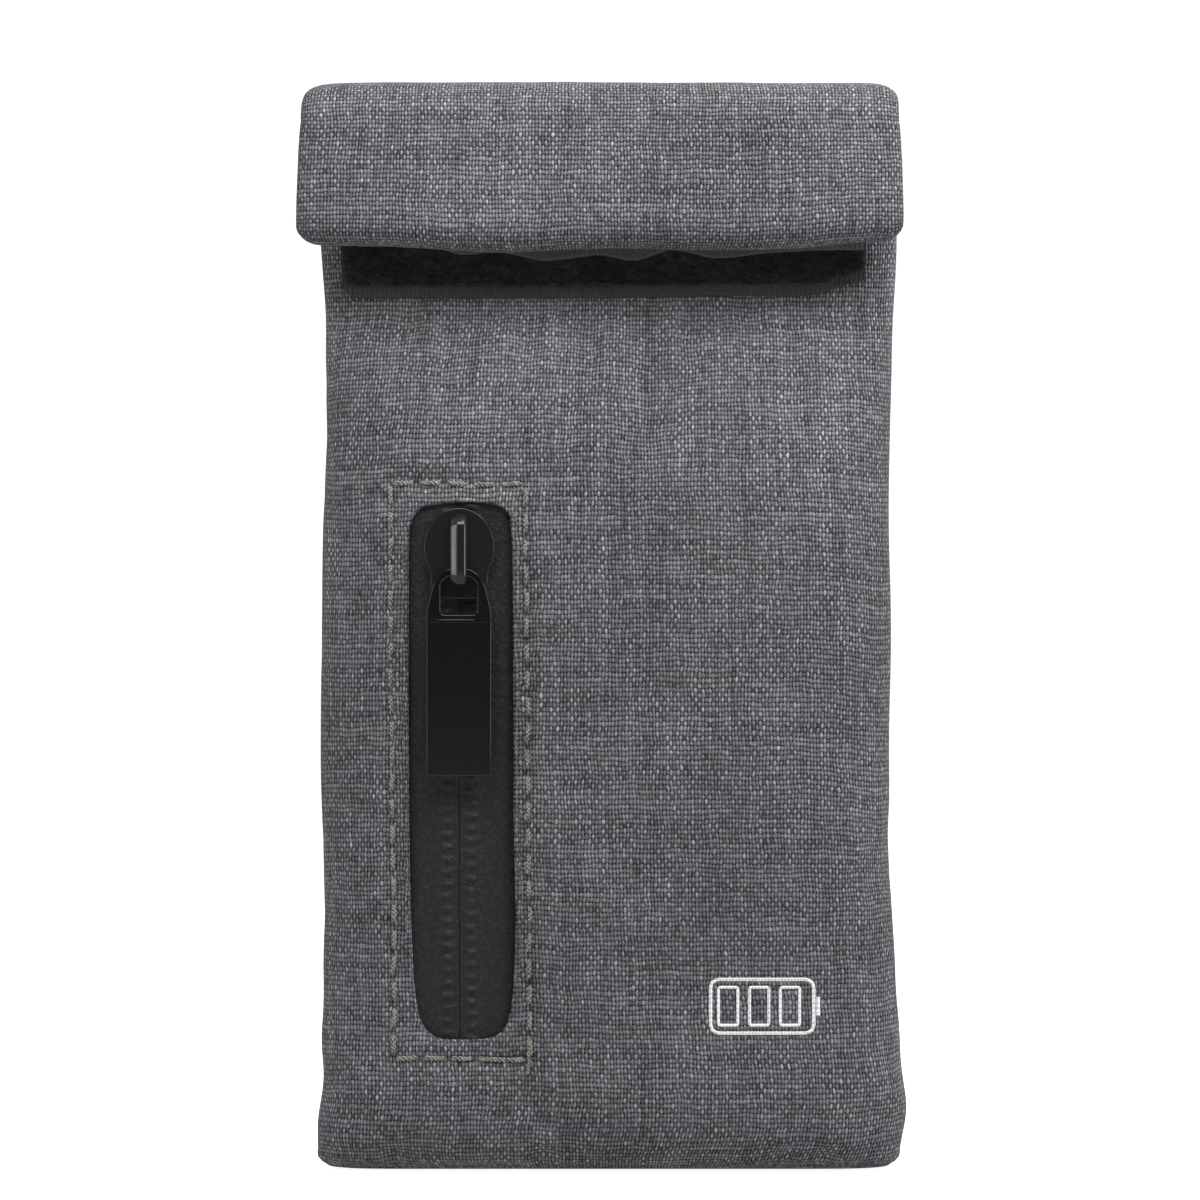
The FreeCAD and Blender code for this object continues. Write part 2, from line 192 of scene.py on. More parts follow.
def make_object(name, verts, faces, cloth=None, normals=None, smooth=True):
    """A mesh object from millimetre coordinates. cloth is each vertex's place on the flat cloth."""
    mesh = bpy.data.meshes.new(name)
    places = [tuple(v) for v in np.asarray(verts) * MM]
    mesh.from_pydata(places, [], [tuple(int(i) for i in f) for f in faces])
    if cloth is not None:
        layer = mesh.attributes.new("cloth", "FLOAT_VECTOR", "POINT")
        flat = np.zeros((len(verts), 3))
        flat[:, :2] = cloth
        layer.data.foreach_set("vector", flat.ravel())
    mesh.polygons.foreach_set("use_smooth", [smooth] * len(mesh.polygons))
    if normals is not None:
        mesh.normals_split_custom_set_from_vertices([tuple(n) for n in normals])
    mesh.update()
    return add_object(name, mesh)


def grid_faces(rows, columns, closed=False):
    r = np.arange(rows - 1)[:, None] * columns
    c = np.arange(columns if closed else columns - 1)[None]
    d = (c + 1) % columns
    return np.stack([r + c, r + d, r + columns + d, r + columns + c], -1).reshape(-1, 4)


def capped_faces(rings, sides):
    """Faces of a closed tube, with one face over each end."""
    faces = list(grid_faces(rings, sides, closed=True))
    return faces + [range(sides)[::-1], range((rings - 1) * sides, rings * sides)]


def grid_normals(grid, closed):
    """Unit normals of a grid of points, outward for a tube whose columns run anticlockwise from above."""
    along = np.gradient(grid, axis=0)
    if closed:
        around = (np.roll(grid, -1, 1) - np.roll(grid, 1, 1)) / 2
    else:
        around = np.gradient(grid, axis=1)
    n = np.cross(around, along)
    return n / np.maximum(np.linalg.norm(n, axis=-1, keepdims=True), 1e-9)


def give(obj, material, body=None):
    obj.data.materials.clear()
    obj.data.materials.append(material)
    if body:
        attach(obj, body)
    return obj


def tube_mesh(points, radius, sides=6):
    """Vertices and faces of a closed tube along a path. radius may be one value or one per point."""
    p = np.asarray(points, float)
    radius = np.broadcast_to(radius, len(p))
    tangent = unit(np.gradient(p, axis=0))
    helper = np.array([0.0, 0.0, 1.0]) if abs(tangent[0][2]) < 0.9 else np.array([1.0, 0.0, 0.0])
    side = unit(np.cross(tangent, helper))
    up = np.cross(side, tangent)
    a = np.arange(sides) * 2 * math.pi / sides
    ring = side[:, None] * np.cos(a)[None, :, None] + up[:, None] * np.sin(a)[None, :, None]
    verts = (p[:, None] + ring * radius[:, None, None]).reshape(-1, 3)
    return verts, capped_faces(len(p), sides)


class Pile:
    """Collects many small meshes into one."""

    def __init__(self):
        self.verts, self.faces, self.count = [], [], 0

    def add(self, verts, faces):
        self.verts.append(np.asarray(verts))
        self.faces += [tuple(i + self.count for i in f) for f in faces]
        self.count += len(verts)

    def build(self, name, cloth=False):
        verts = np.vstack(self.verts)
        return make_object(name, verts, self.faces, cloth=verts[:, [0, 2]] if cloth else None)


# ---- Materials ------------------------------------------------------------


class Shader:
    """Builds one procedural material."""

    def __init__(self, name, base, roughness, specular=0.5, sheen=0.0, coat=0.0):
        self.material = bpy.data.materials.new(name)
        self.material.use_nodes = True
        self.tree = self.material.node_tree
        self.surface = self.tree.nodes["Principled BSDF"]
        self.put("Base Color", (*base, 1))
        self.put("Roughness", roughness)
        self.put("Specular IOR Level", specular)
        self.put("Sheen Weight", sheen)
        self.put("Sheen Roughness", 0.45)
        self.put("Coat Weight", coat)
        self.put("Coat Roughness", 0.08 if coat else 0.1)

    def put(self, socket, value):
        self.surface.inputs[socket].default_value = value

    def link(self, value, socket):
        if isinstance(value, bpy.types.NodeSocket):
            self.tree.links.new(value, socket)
        else:
            socket.default_value = value

    def node(self, kind, inputs=(), **settings):
        """A new node. inputs is its first inputs in order, or a dict of them by name."""
        made = self.tree.nodes.new(kind)
        for key, value in settings.items():
            setattr(made, key, value)
        for key, value in (inputs.items() if isinstance(inputs, dict) else enumerate(inputs)):
            self.link(value, made.inputs[key])
        return made

    def math(self, operation, *values):
        return self.node("ShaderNodeMath", values, operation=operation).outputs[0]

    def mul(self, a, b):
        return self.math("MULTIPLY", a, b)

    def add(self, a, b):
        return self.math("ADD", a, b)

    def sub(self, a, b):
        return self.math("SUBTRACT", a, b)

    def tint(self, colour, factor):
        """A colour or a place times a single number."""
        return self.node("ShaderNodeVectorMath", {0: colour, "Scale": factor}, operation="SCALE").outputs[0]

    def cloth(self):
        """The place on the flat cloth, in millimetres."""
        place = self.node("ShaderNodeAttribute", attribute_name="cloth").outputs["Vector"]
        parts = self.node("ShaderNodeSeparateXYZ", [place])
        return place, parts.outputs[0], parts.outputs[1]

    def place(self, scale=1000.0):
        """The place in space, in millimetres by default."""
        return self.tint(self.node("ShaderNodeTexCoord").outputs["Object"], scale)

    def vector(self, x, y, z=0.0):
        return self.node("ShaderNodeCombineXYZ", (x, y, z)).outputs[0]

    def noise(self, vector, scale, detail=2.0, roughness=0.5):
        inputs = dict(Vector=vector, Scale=scale, Detail=detail, Roughness=roughness)
        return self.node("ShaderNodeTexNoise", inputs).outputs[0]

    def random(self, vector):
        return self.node("ShaderNodeTexWhiteNoise", [vector], noise_dimensions="3D").outputs["Value"]

    def range(self, value, low, high, new_low, new_high):
        """A number moved from one range to another, and kept inside it."""
        return self.node("ShaderNodeMapRange", (value, low, high, new_low, new_high), clamp=True).outputs[0]

    def mix(self, factor, a, b, blend="MIX"):
        made = self.node("ShaderNodeMix", data_type="RGBA", blend_type=blend)
        sockets = [s for s in made.inputs if s.type == "RGBA"]
        self.link(factor, made.inputs[0])
        for value, socket in zip((a, b), sockets):
            self.link(value if isinstance(value, bpy.types.NodeSocket) else (*value, 1), socket)
        return [s for s in made.outputs if s.type == "RGBA"][0]

    def bump(self, height, distance_mm):
        made = self.node("ShaderNodeBump", dict(Strength=1.0, Distance=distance_mm * MM, Height=height))
        if self.surface.inputs["Normal"].is_linked:
            self.link(self.surface.inputs["Normal"].links[0].from_socket, made.inputs["Normal"])
        self.link(made.outputs[0], self.surface.inputs["Normal"])

    def colour(self, value):
        self.link(value, self.surface.inputs["Base Color"])

    def roughness(self, value):
        self.link(value, self.surface.inputs["Roughness"])


WARP_PITCH = 0.387
WEFT_PITCH = 0.58


def canvas_material():
    """Heathered plain weave: round threads pass over and under each other, with slubs."""
    s = Shader("canvas", (0.14, 0.14, 0.15), 0.9, specular=0.04)
    place, u, v = s.cloth()
    sway_u = s.mul(s.sub(s.noise(place, 0.22, 4.0, 0.6), 0.5), 0.85)
    sway_v = s.mul(s.sub(s.noise(s.vector(v, u, 5.0), 0.2, 4.0, 0.6), 0.5), 1.0)
    column = s.math("DIVIDE", s.add(u, sway_u), WARP_PITCH)
    row = s.math("DIVIDE", s.add(v, sway_v), WEFT_PITCH)
    iu, iv = s.math("FLOOR", column), s.math("FLOOR", row)
    fu = s.sub(s.math("FRACT", column), 0.5)
    fv = s.sub(s.math("FRACT", row), 0.5)
    over = s.sub(1.0, s.mul(s.math("FLOORED_MODULO", s.add(iu, iv), 2.0), 2.0))

    def thread(across, along, thickness, sign):
        """Height of a round thread that rises and dips along its length."""
        wave = s.mul(s.mul(s.math("COSINE", s.mul(along, math.pi)), over), sign * 0.5)
        side = s.math("DIVIDE", across, thickness)
        crown = s.math("MAXIMUM", s.sub(1.0, s.mul(side, side)), 0.0)
        return s.add(wave, s.mul(s.math("POWER", crown, 0.75), 0.75))

    warp = thread(fu, fv, s.add(s.mul(s.random(s.vector(iu, 3.0)), 0.12), 0.34), 1)
    weft = thread(fv, fu, s.add(s.mul(s.random(s.vector(iv, 8.0)), 0.08), 0.4), -1)
    warp_on_top = s.math("GREATER_THAN", warp, weft)
    height = s.math("MAXIMUM", warp, weft)
    slub_warp = s.noise(s.vector(s.mul(iu, 7.31), s.mul(v, 0.09)), 1.0, 2.0, 0.6)
    slub_weft = s.noise(s.vector(s.mul(u, 0.08), s.mul(iv, 9.17)), 1.0, 2.0, 0.6)
    heather_warp = s.noise(s.vector(s.mul(iu, 3.7), s.mul(v, 1.1), 2.0), 1.0, 1.0)
    heather_weft = s.noise(s.vector(s.mul(u, 0.9), s.mul(iv, 5.3), 7.0), 1.0, 1.0)
    fibre_warp = s.noise(s.vector(s.mul(u, 14.0), s.mul(v, 2.6)), 1.0, 2.0, 0.6)
    fibre_weft = s.noise(s.vector(s.mul(u, 2.6), s.mul(v, 14.0), 3.0), 1.0, 2.0, 0.6)
    tone_warp = s.mul(s.range(slub_warp, 0.3, 0.7, 0.6, 1.4), s.range(heather_warp, 0.3, 0.7, 0.068, 0.152))
    tone_weft = s.mul(s.range(slub_weft, 0.3, 0.7, 0.6, 1.4), s.range(heather_weft, 0.3, 0.7, 0.038, 0.1))
    fibre_warp = s.range(fibre_warp, 0.3, 0.7, 0.75, 1.25)
    fibre_weft = s.range(fibre_weft, 0.3, 0.7, 0.75, 1.25)
    tone_warp = s.mul(tone_warp, s.range(s.random(s.vector(iu, iv)), 0.0, 1.0, 0.85, 1.15))
    tone = s.add(s.mul(s.mul(tone_warp, fibre_warp), warp_on_top),
                 s.mul(s.mul(tone_weft, fibre_weft), s.sub(1.0, warp_on_top)))
    # Painted shade: the colour darkens where the threads dip, in the gaps between them
    painted_gap_shade = s.range(height, 0.3, 1.0, 0.12, 1.08)
    broad = s.range(s.noise(s.vector(u, s.mul(v, 0.6)), 0.06, 3.0), 0.32, 0.68, 0.9, 1.1)
    dye = s.noise(s.vector(s.mul(iv, 0.37), s.mul(u, 0.05)), 1.0)
    cast = s.mix(dye, (0.96, 0.98, 1.09), (1.0, 1.0, 1.03))
    s.colour(s.tint(cast, s.mul(s.mul(tone, painted_gap_shade), broad)))
    s.bump(s.add(height, s.mul(s.add(fibre_warp, fibre_weft), 0.12)), 0.16)
    return s.material


def lining_material():
    """Silvery coated glass-fibre cloth: a tight, shallow plain weave."""
    s = Shader("lining", (0.5, 0.5, 0.49), 0.5, specular=0.4)
    place, u, v = s.cloth()
    weave = s.mul(s.math("SINE", s.mul(u, 9.0)), s.math("SINE", s.mul(v, 9.0)))
    s.colour(s.mix(s.range(weave, -1, 1, 0, 1), (0.36, 0.36, 0.36), (0.58, 0.58, 0.57)))
    s.roughness(s.range(s.noise(place, 0.4), 0.3, 0.7, 0.42, 0.6))
    s.bump(weave, 0.06)
    return s.material


def zip_tape_material():
    """Coated water-resistant zip tape with a fine leather-like grain."""
    s = Shader("zip_tape", (0.03, 0.031, 0.033), 0.46, specular=0.12)
    place = s.place()
    cells = s.node("ShaderNodeTexVoronoi", dict(Vector=place, Scale=2.2), feature="SMOOTH_F1")
    grain = cells.outputs["Distance"]
    fine = s.noise(place, 4.5, 4.0, 0.65)
    s.colour(s.mix(s.range(grain, 0.0, 0.5, 0, 1), (0.0155, 0.0158, 0.017), (0.008, 0.0083, 0.009)))
    s.roughness(s.range(s.noise(place, 0.5, 3.0), 0.3, 0.7, 0.44, 0.58))
    s.bump(s.add(s.mul(grain, -1.0), s.mul(fine, 0.6)), 0.12)
    return s.material


def pile_material(name, colour, roughness):
    """Short dark fibres or plain dark cloth."""
    s = Shader(name, colour, roughness, specular=0.12)
    place = s.place()
    lift = s.range(s.noise(place, 0.5, 4.0), 0.3, 0.7, 0.8, 1.25)
    s.colour(s.tint(s.vector(*colour), lift))
    s.bump(s.noise(place, 9.0, 3.0), 0.03)
    return s.material


def selvage_material(name, dark, light):
    """The woven border of hook-and-loop tape, ribbed across its length."""
    s = Shader(name, dark, 0.7, specular=0.12)
    place = s.place()
    s.colour(s.mix(s.noise(place, 2.5, 3.0), dark, light))
    s.bump(s.noise(place, 7.0, 3.0), 0.05)
    return s.material


def metal_material(name, colour, roughness, coat):
    """Lacquered die-cast metal, with a faint orange peel."""
    s = Shader(name, colour, roughness, specular=0.17, coat=coat)
    place = s.place()
    s.roughness(s.range(s.noise(place, 0.8, 4.0), 0.3, 0.7, roughness * 0.85, roughness * 1.25))
    dark, light = np.array(colour) * 0.85, np.array(colour) * 1.2
    s.colour(s.mix(s.noise(place, 0.5, 4.0), dark, light))
    s.bump(s.noise(place, 2.2, 2.0), 0.005)
    return s.material


def thread_material():
    """Sewing thread: the twist of its plies shows as slanted bands."""
    s = Shader("thread", (0.17, 0.155, 0.13), 0.75, specular=0.3, sheen=0.1)
    place = s.place()
    inputs = dict(Vector=place, Scale=1.35, Distortion=1.0)
    twist = s.node("ShaderNodeTexWave", inputs, wave_type="BANDS", bands_direction="DIAGONAL")
    band = twist.outputs["Fac"]
    fleck = s.range(s.mul(band, s.noise(place, 1.3, 3.0)), 0.1, 0.45, 0, 1)
    s.colour(s.mix(fleck, (0.055, 0.053, 0.049), (0.19, 0.183, 0.168)))
    s.bump(band, 0.05)
    return s.material


def print_material():
    """Screen-print ink that lets the weave through."""
    s = Shader("print", (0.75, 0.76, 0.77), 0.6, specular=0.3)
    place, u, v = s.cloth()
    across, along = s.mul(u, math.pi / WARP_PITCH), s.mul(v, math.pi / WEFT_PITCH)
    weave = s.math("ABSOLUTE", s.mul(s.math("SINE", across), s.math("SINE", along)))
    ink = s.range(s.add(weave, s.noise(place, 2.4, 4.0, 0.7)), 0.35, 0.85, 0, 1)
    s.colour(s.mix(ink, (0.2, 0.2, 0.205), (0.5, 0.505, 0.515)))
    s.bump(weave, 0.09)
    return s.material


canvas = canvas_material()
lining = lining_material()
zip_tape_look = zip_tape_material()
loop_look = pile_material("loop_pile", (0.0125, 0.013, 0.0148), 0.6)
hook_look = pile_material("hooks", (0.013, 0.0132, 0.014), 0.35)
loop_border_look = selvage_material("loop_tape_border", (0.011, 0.0113, 0.0125), (0.03, 0.031, 0.034))
hook_border_look = selvage_material("hook_tape_border", (0.022, 0.0225, 0.0245), (0.042, 0.043, 0.047))
slider_look = metal_material("slider_lacquer", (0.0065, 0.0065, 0.0072), 0.16, 0.06)
pull_look = metal_material("pull_lacquer", (0.003, 0.003, 0.0037), 0.1, 0.12)
thread_look = thread_material()
print_look = print_material()
pocket_look = pile_material("pocket", (0.02, 0.02, 0.021), 0.8)

# ---- The cloth tube -------------------------------------------------------
# The pouch is one flat tube of cloth. Its front wall and back wall are followed from the
# base, up the body, over the top fold, down the flap, round the crease and up to the mouth.

# height: half width, shift sideways, front wall, back wall
BODY_LEVELS = [
    (0.0, 33.6, 0.3, -5.0, 3.4),
    (0.9, 34.9, 0.3, -6.6, 4.3),
    (2.4, 35.2, 0.4, -7.8, 5.0),
    (4.8, 35.4, 0.65, -8.6, 5.5),
    (7.5, 35.25, 0.9, -8.95, 5.9),
    (10.5, 35.2, 0.95, -8.8, 6.2),
    (14.5, 35.1, 0.8, -8.2, 6.5),
    (19.0, 34.98, 0.68, -7.85, 6.7),
    (28.0, 34.88, 0.48, -7.9, 6.9),
    (40.0, 34.72, 0.32, -8.1, 7.0),
    (55.0, 34.72, 0.2, -8.1, 7.0),
    (70.0, 34.6, 0.27, -8.0, 7.0),
    (83.0, 34.32, 0.1, -7.7, 6.8),
    (90.0, 34.32, 0.18, -6.4, 6.6),
    (97.0, 34.5, 0.37, -3.9, 6.3),
    (103.5, 34.65, 0.52, -1.3, 6.1),
    (108.0, 34.95, 0.5, -1.0, 6.0),
    (114.0, 35.2, 0.3, -1.0, 6.0),
    (125.4, 34.9, -0.5, -1.0, 6.0),
]


def tube_guides():
    """The walls' paths as rows of front y, front z, back y, back z, half width, shift. The
    front wall of the body becomes the inner wall of the flap."""
    rows = []
    seam_y = (BODY_LEVELS[0][3] + BODY_LEVELS[0][4]) / 2
    for k in range(6):
        open_share = math.sin(math.pi / 2 * k / 6)
        rows.append((seam_y + (BODY_LEVELS[0][3] - seam_y) * open_share, 0.25 * (1 - k / 6),
                     seam_y + (BODY_LEVELS[0][4] - seam_y) * open_share, 0.25 * (1 - k / 6),
                     BODY_LEVELS[0][1] - 1.4 * (1 - k / 6), BODY_LEVELS[0][2]))
    heights = np.concatenate([np.linspace(0, 3, 10, endpoint=False), np.linspace(3, LIFT_Z, 150)])
    for z, (half, shift, front, back) in zip(heights, smooth_table(heights, BODY_LEVELS)):
        rows.append((front, z, back, z, half, shift))
    outer_mid, outer_half = (NECK_BACK + FLAP_FRONT) / 2, (NECK_BACK - FLAP_FRONT) / 2
    inner_mid, inner_half = (NECK_FRONT + FLAP_BACK) / 2, (NECK_FRONT - FLAP_BACK) / 2
    rise = fold_high[2] - LIFT_Z
    for angle in np.linspace(0, math.pi, 60)[1:]:
        c = math.copysign(abs(math.cos(angle)) ** FOLD_SQUARENESS, math.cos(angle))
        h = max(math.sin(angle), 0.0) ** FOLD_SQUARENESS
        blend = (1 - c) / 2
        near_top = min(max((rise * h - rise + TOP_CORNER) / TOP_CORNER, 0), 1)
        half = 34.9 + (35.75 - 34.9) * blend - TOP_CORNER * (1 - math.sqrt(1 - near_top**2))
        shift = -0.5 + (ROLL_X + 0.5) * blend
        rows.append((inner_mid + inner_half * c, LIFT_Z + 0.34 * rise * h,
                     outer_mid + outer_half * c, LIFT_Z + rise * h, half, shift))
    for share in np.linspace(0, 1, 16)[1:]:
        z = LIFT_Z + (CREASE_Z - LIFT_Z) * share
        rows.append((FLAP_BACK, z, FLAP_FRONT, z, 35.75 + 0.55 * share**0.6, ROLL_X))
    for angle in np.linspace(0, math.pi, 30)[1:]:
        c, h = math.cos(angle), math.sin(angle)
        near_low = min(max((CREASE_RADIUS * h - CREASE_RADIUS + LOW_CORNER) / LOW_CORNER, 0), 1)
        half = 36.3 - LOW_CORNER * (1 - math.sqrt(1 - near_low**2)) - 0.05 * (1 - c)
        rows.append((CREASE_Y - 0.15 * c, CREASE_Z - 0.15 * h,
                     CREASE_Y - CREASE_RADIUS * c, CREASE_Z - CREASE_RADIUS * h, half, ROLL_X))
    for z in np.linspace(CREASE_Z, MOUTH_TOP - 0.35, 8)[1:]:
        rows.append((MOUTH_FRONT, z, MOUTH_BACK, z, 36.2, ROLL_X))
    return np.array(rows)


def resample(rows, spacing, zip_spacing):
    """The guide rows at an even spacing along the middle of the cloth, closer beside the zip."""
    middle = np.stack([(rows[:, 0] + rows[:, 2]) / 2, (rows[:, 1] + rows[:, 3]) / 2], 1)
    step = np.maximum(np.linalg.norm(np.diff(middle, axis=0), axis=1),
                      0.75 * np.linalg.norm(np.diff(rows[:, 2:4], axis=0), axis=1))
    beside_zip = (np.arange(len(rows) - 1) < np.argmax(rows[:, 1])) & (rows[1:, 1] > 11) & (rows[1:, 1] < 85)
    step = np.maximum(step, 1e-6) / np.where(beside_zip, zip_spacing, spacing)
    length = np.concatenate([[0], np.cumsum(step)])
    at = np.linspace(0, length[-1], int(round(length[-1])) + 1)
    return np.stack([np.interp(at, length, rows[:, k]) for k in range(rows.shape[1])], 1)


def section(row, shares, inset):
    """One closed ring of the tube, with a point at each share of the way round from the left side."""
    front, back = np.array([row[0], row[1]]), np.array([row[2], row[3]])
    mid, half = (front + back) / 2, (back - front) / 2
    depth = np.linalg.norm(half)
    thick = max(depth - inset, 0.05)
    half = half / max(depth, 1e-6) * thick
    width = row[4] - inset
    power = min(max(1.6 * width / thick, 5.0), 60.0)
    b = np.linspace(-math.pi / 2, math.pi / 2, 400)
    across = np.sin(b)
    bulge = np.sqrt(np.maximum(1 - np.abs(across) ** power, 0))
    x = np.concatenate([across, across[::-1][1:]]) * width + row[5]
    side = np.concatenate([-bulge, bulge[::-1][1:]])
    p = np.stack([x, mid[0] + half[0] * side, mid[1] + half[1] * side], 1)
    length = run_along(p)
    return np.stack([np.interp(shares * length[-1], length, p[:, k]) for k in range(3)], 1)


def tube_grid(spacing, zip_spacing, shares, inset=0.0):
    rows = resample(tube_guides(), spacing, zip_spacing)
    return rows, np.stack([section(r, shares, inset) for r in rows])


ROLL_TIGHTNESS = 0.14  # how much closer the threads lie in the roll than in the body
PANEL = 72.7  # width of the front panel and of the back panel, seam to seam


def panel_columns(zip_step, step, side_step, back_step):
    """Shares of the way round, closer beside the zip and at the side seams. Returns how many are
    on the front as well."""
    middle = ZIP_X + PANEL / 2
    edge = 4.0

    def runs(*stops):
        """Even runs between stops, each given with the step that leads up to it."""
        out = []
        for (start, _), (end, wanted) in zip(stops, stops[1:]):
            count = max(int(round((end - start) / wanted)), 1)
            out.append(np.linspace(start, end, count, endpoint=False))
        return np.concatenate(out)

    front = runs((0, 0), (edge, side_step), (middle - 11.5, step), (middle + 11.5, zip_step),
                 (PANEL - edge, step), (PANEL, side_step))
    back = runs((0, 0), (edge, side_step), (PANEL - edge, back_step), (PANEL, side_step))
    return np.concatenate([front, PANEL + back]) / (2 * PANEL), len(front) + 1


def panel_order(columns, front_count):
    """Column numbers of the front panel and then of the back panel. Both hold the side seams."""
    return np.concatenate([np.arange(front_count), np.arange(front_count - 1, columns), [0]])


def cloth_places(rows, shares, front_count):
    """Where each point of the two panels lies on the flat cloth, in millimetres."""
    runs = [run_along(rows[:, k:k + 2]) for k in (0, 2)]
    u = np.concatenate([shares[:front_count], shares[front_count - 1:], [1.0]]) * 2 * PANEL
    on_back = np.arange(len(u)) >= front_count
    roll_start = int(np.argmax(rows[:, 1] >= LIFT_Z))
    runs = [run + ROLL_TIGHTNESS * np.maximum(run - run[roll_start], 0) for run in runs]
    v = np.where(on_back[None], runs[1][:, None] + 300.0, runs[0][:, None])
    return np.stack([np.broadcast_to(u + 40.0 * on_back, v.shape), v], -1)


def simulate_body(rows, grid):
    """Lets the body's cloth settle: a light pressure from inside against the pinned base,
    neck and zip. Works on a coarse copy at ten times the size and returns how far it moved."""
    scale = 0.01
    body = rows[:, 3] <= LIFT_Z
    body &= np.arange(len(rows)) < np.argmax(rows[:, 1] >= LIFT_Z - 12.0)
    picked = np.flatnonzero(body)
    coarse = grid[picked]
    count, columns = coarse.shape[:2]
    verts = coarse.reshape(-1, 3)
    obj = make_object("cloth_trial", verts * scale / MM, grid_faces(count, columns, closed=True))
    cap = bmesh.new()
    cap.from_mesh(obj.data)
    bmesh.ops.holes_fill(cap, edges=[e for e in cap.edges if e.is_boundary], sides=0)
    cap.to_mesh(obj.data)
    cap.free()
    pins = obj.vertex_groups.new(name="pins")
    x, y, z = verts.T
    fixed = smoothstep(3.0, 0.5, z) + smoothstep(98.0, 106.0, z)
    near_zip = smoothstep(11.5, 8.0, np.abs(x - ZIP_X)) * smoothstep(10, 14, z) * smoothstep(87, 83, z)
    fixed = np.clip(fixed + (y < -4) * near_zip, 0, 1)
    for k, weight in enumerate(fixed):
        if weight > 0:
            pins.add([k], float(weight), "REPLACE")
    cloth = obj.modifiers.new("cloth", "CLOTH")
    settings = dict(quality=6, mass=0.25, tension_stiffness=18, compression_stiffness=18, shear_stiffness=6,
                    bending_stiffness=0.6, vertex_group_mass="pins", use_pressure=True,
                    uniform_pressure_force=1.4, shrink_min=-0.025)
    for name, value in settings.items():
        setattr(cloth.settings, name, value)
    cloth.settings.effector_weights.gravity = 0.25
    for frame_number in range(1, 26):
        bpy.context.scene.frame_set(frame_number)
    bpy.context.view_layer.update()
    done = obj.evaluated_get(bpy.context.evaluated_depsgraph_get()).data
    moved = np.empty(len(done.vertices) * 3)
    done.vertices.foreach_get("co", moved)
    moved = moved.reshape(-1, 3)[:len(verts)] / scale - verts
    bpy.data.objects.remove(obj)
    bpy.context.scene.frame_set(1)
    moved[:, 0] *= 0.12
    length = np.linalg.norm(moved, axis=1, keepdims=True)
    limit = 1.2
    moved = moved * (limit * np.tanh(length / limit) / np.maximum(length, 1e-9))
    return picked, moved.reshape(count, columns, 3)


def spread_moves(coarse_z, moves, fine_z, shares):
    """Coarse moves carried to the fine grid, by height and by share of the way round."""
    from_columns, columns = moves.shape[1], len(shares)
    at = shares * from_columns
    low = np.floor(at).astype(int)
    t = at - low
    t = (t * t * (3 - 2 * t))[None, :, None]
    across = moves[:, low % from_columns] * (1 - t) + moves[:, (low + 1) % from_columns] * t
    out = np.empty((len(fine_z), columns, 3))
    for c, k in np.ndindex(columns, 3):
        out[:, c, k] = np.interp(fine_z, coarse_z, across[:, c, k])
    return out


# Zip window outline, from the zip's centre line and the base, and the stitched rectangle
WINDOW = [
    (-3.7, 79.85), (0.6, 80.2), (4.3, 79.95), (5.8, 79.0), (6.35, 77.2), (6.55, 70.0), (6.65, 45.0),
    (6.9, 30.0), (6.6, 22.0), (6.0, 18.2), (4.9, 16.5), (3.0, 15.85), (-0.5, 15.75), (-2.7, 16.0),
    (-4.35, 17.3), (-5.25, 20.0), (-5.8, 26.0), (-6.15, 40.0), (-6.25, 60.0), (-6.2, 75.2), (-5.85, 77.8),
    (-5.1, 79.1),
]
WINDOW_TOP = max(point[1] for point in WINDOW)
WINDOW_FOOT = min(point[1] for point in WINDOW)
window_outline = closed_curve([(ZIP_X + x, z) for x, z in WINDOW])
STITCH_CORNERS = [
    (stitch_low[0] - 0.1, stitch_high[2]), (stitch_high[0] - 0.5, stitch_high[2] - 0.2),
    (stitch_high[0] + 0.15, stitch_low[2]), (stitch_low[0] + 0.45, stitch_low[2] + 0.3),
]
STITCH_PITCH = 3.17


def outline_distance(points, outline):
    """Signed distance to a closed outline, less than 0 inside, and the nearest point on it."""
    best = np.full(len(points), 1e9)
    nearest = np.zeros((len(points), 2))
    inside = np.zeros(len(points), bool)
    for p, q in zip(outline, np.roll(outline, -1, 0)):
        edge = q - p
        t = np.clip(((points - p) @ edge) / (edge @ edge), 0, 1)
        foot = p + t[:, None] * edge
        d = np.linalg.norm(points - foot, axis=1)
        closer = d < best
        best[closer], nearest[closer] = d[closer], foot[closer]
        crosses = (p[1] > points[:, 1]) != (q[1] > points[:, 1])
        with np.errstate(divide="ignore", invalid="ignore"):
            cut = p[0] + (points[:, 1] - p[1]) / (q[1] - p[1]) * edge[0]
        inside ^= crosses & (points[:, 0] < cut)
    return np.where(inside, -best, best), nearest


shares, front_count = panel_columns(0.3, SPACING, 0.42, 0.85)
columns = len(shares)
guide_rows, bag = tube_grid(SPACING, 0.4, shares)
cloth = cloth_places(guide_rows, shares, front_count)


def landmarks(rows):
    """The rows where the body ends and where the flap is half way down, and the run along the outer wall."""
    body_end = int(np.argmax(rows[:, 1] >= LIFT_Z - 3.0))
    top = int(np.argmax(rows[:, 3]))
    middle = top + int(np.argmax(rows[top:, 3] < (LIFT_Z + CREASE_Z) / 2))
    return body_end, middle, run_along(rows[:, 2:4])


fold_start, flap_middle, row_length = landmarks(guide_rows)
crease_index = flap_middle + int(np.argmin(guide_rows[flap_middle:, 3]))


coarse_rows, coarse_grid = tube_grid(2.4, 2.4, np.arange(60) / 60)
picked, moves = simulate_body(coarse_rows, coarse_grid)


def settled_moves(rows, count, grid, shares):
    """How far the settled cloth moved, at each point of the first rows of a grid."""
    out = np.zeros_like(grid)
    heights = rows[:count, 1]
    hold = smoothstep(110.0, 100.0, heights) * smoothstep(0.0, 2.5, heights)
    out[:count] = spread_moves(coarse_rows[picked, 1], moves, heights, shares) * hold[:, None, None]
    return out


